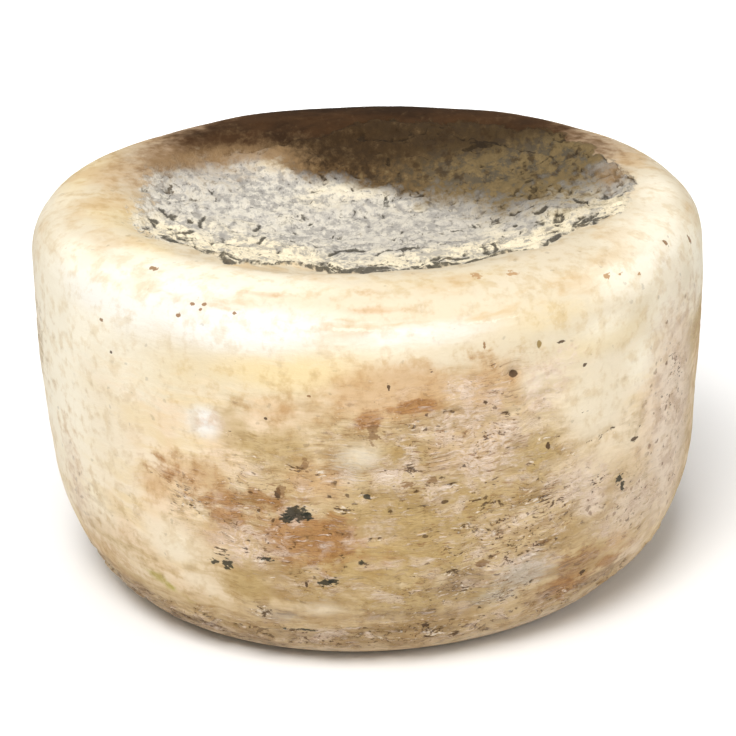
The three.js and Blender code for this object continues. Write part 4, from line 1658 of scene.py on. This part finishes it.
# %% Shine, and the finished material
FAT_IOR = 1.45
SHEEN_OF_RIND = 0.12  # a dry rind hardly shines
BARE, WAXY = 0.6, 0.42  # how rough the bare rind and the ivory are
dullness = paint.step(ivory, start=0, full=1, bottom=BARE, top=WAXY)
dullness = plus(dullness, shares(paint.math("MAXIMUM", bloom, far_rim), 0.25))
dullness = paint.math("ADD", dullness, shares(shore, 0.3), clamp=True)

surface = paint.add("ShaderNodeBsdfPrincipled")
paint.feed(surface.inputs["Base Color"], coats.colour)
paint.feed(surface.inputs["Roughness"], dullness)
paint.feed(surface.inputs["Normal"], fine_relief.outputs[0])
surface.inputs["IOR"].default_value = FAT_IOR
surface.inputs["Specular IOR Level"].default_value = SHEEN_OF_RIND
output = paint.add("ShaderNodeOutputMaterial")
paint.feed(output.inputs["Surface"], surface.outputs[0])
rind.data.materials.clear()
rind.data.materials.append(material)
print("material with", len(material.node_tree.nodes), "nodes")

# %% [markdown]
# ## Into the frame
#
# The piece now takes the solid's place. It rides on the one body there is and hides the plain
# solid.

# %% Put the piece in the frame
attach(rind, "root")
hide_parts("cheese_wheel")
print("rind replaces the solid's looks")

# %% [markdown]
# ## Floor, light and camera
#
# A pale, dull floor leaves the colours of the wheel alone. It is large enough that its edge is
# never seen.

# %% Floor
FLOOR_REACH = 6.0  # metres to each side
FLOOR_TONE = tone(246, 245, 243)
FLOOR_ROUGHNESS = 0.8
floor_mesh = bpy.data.meshes.new("floor")
corners = [(x * FLOOR_REACH, y * FLOOR_REACH, 0.0) for x, y in ((-1, -1), (1, -1), (1, 1), (-1, 1))]
floor_mesh.from_pydata(corners, [], [(0, 1, 2, 3)])
floor = bpy.data.objects.new("floor", floor_mesh)
bpy.context.collection.objects.link(floor)
floor_material = bpy.data.materials.new("pale_floor")
floor_material.use_nodes = True
floor_shader = floor_material.node_tree.nodes["Principled BSDF"]
floor_shader.inputs["Base Color"].default_value = FLOOR_TONE
floor_shader.inputs["Roughness"].default_value = FLOOR_ROUGHNESS
floor_mesh.materials.append(floor_material)
print("floor", 2 * FLOOR_REACH, "m wide")

# %% [markdown]
# The key light hangs above the front left and is large, so that shadows stay soft. Fill and back
# light open the dark sides. The sweep light hangs behind the wheel and shines straight down
# with a narrow spread: it brightens the floor behind, as in a photographer's cove.

# %% Lights
WHITE_LIGHT = (1.0, 1.0, 1.0)
AIM = (0, 0, 0.07)  # the middle of the wheel
SWEEP_SPREAD = math.radians(80)
SKY_STRENGTH = 0.3


def soft_light(name, place, size, power):
    """A square light that looks at the wheel."""
    lamp = bpy.data.lights.new(name, "AREA")
    lamp.size = size
    lamp.energy = power
    lamp.color = WHITE_LIGHT
    holder = bpy.data.objects.new(name, lamp)
    holder.location = place
    aim = Vector(AIM) - holder.location
    holder.rotation_euler = aim.to_track_quat("-Z", "Y").to_euler()
    bpy.context.collection.objects.link(holder)
    return holder


soft_light("key", place=(-0.22, -0.8, 1.3), size=0.7, power=23.0)
soft_light("fill", place=(1.3, -0.9, 0.8), size=1.0, power=6.0)
soft_light("back", place=(-0.9, 0.9, 0.9), size=1.0, power=1.0)
sweep = soft_light("sweep", place=(0.0, 1.6, 1.5), size=1.6, power=30.0)
sweep.rotation_euler = (0.0, 0.0, 0.0)  # straight down
sweep.data.spread = SWEEP_SPREAD
world = bpy.data.worlds.new("studio")
world.use_nodes = True
sky = world.node_tree.nodes["Background"]
sky.inputs["Color"].default_value = (*WHITE_LIGHT, 1.0)
sky.inputs["Strength"].default_value = SKY_STRENGTH
bpy.context.scene.world = world
bpy.context.scene.view_settings.view_transform = "Standard"
bpy.context.scene.view_settings.look = "None"
print(len(bpy.data.lights), "lights")

# %% [markdown]
# The camera stands a little above the wheel and looks down into the dish, as a person at a
# counter would. A long lens keeps the wheel's round form from bulging.

# %% Camera
EYE = Vector((0.0, -0.6467, 0.3309))
TARGET = Vector((-0.0011, -0.0009, 0.0610))
LEAN = math.radians(-2.03)  # the camera is tipped sideways by this much
LENS = 100.6  # millimetres, on a sensor 36 wide
camera_data = bpy.data.cameras.new("camera")
camera_data.lens = LENS
camera_data.sensor_width = 36.0
camera_data.clip_start = 0.01
camera = bpy.data.objects.new("camera", camera_data)
facing = (TARGET - EYE).to_track_quat("-Z", "Y").to_matrix().to_4x4()
camera.matrix_world = Matrix.Translation(EYE) @ facing @ Matrix.Rotation(LEAN, 4, "Z")
bpy.context.collection.objects.link(camera)
bpy.context.scene.camera = camera
print("camera", round((TARGET - EYE).length, 3), "m away")

# %% [markdown]
# ## The room it takes
#
# The dressed wheel has to fit into the room of its solid, and its points were held inside the
# solid's box when they moved.
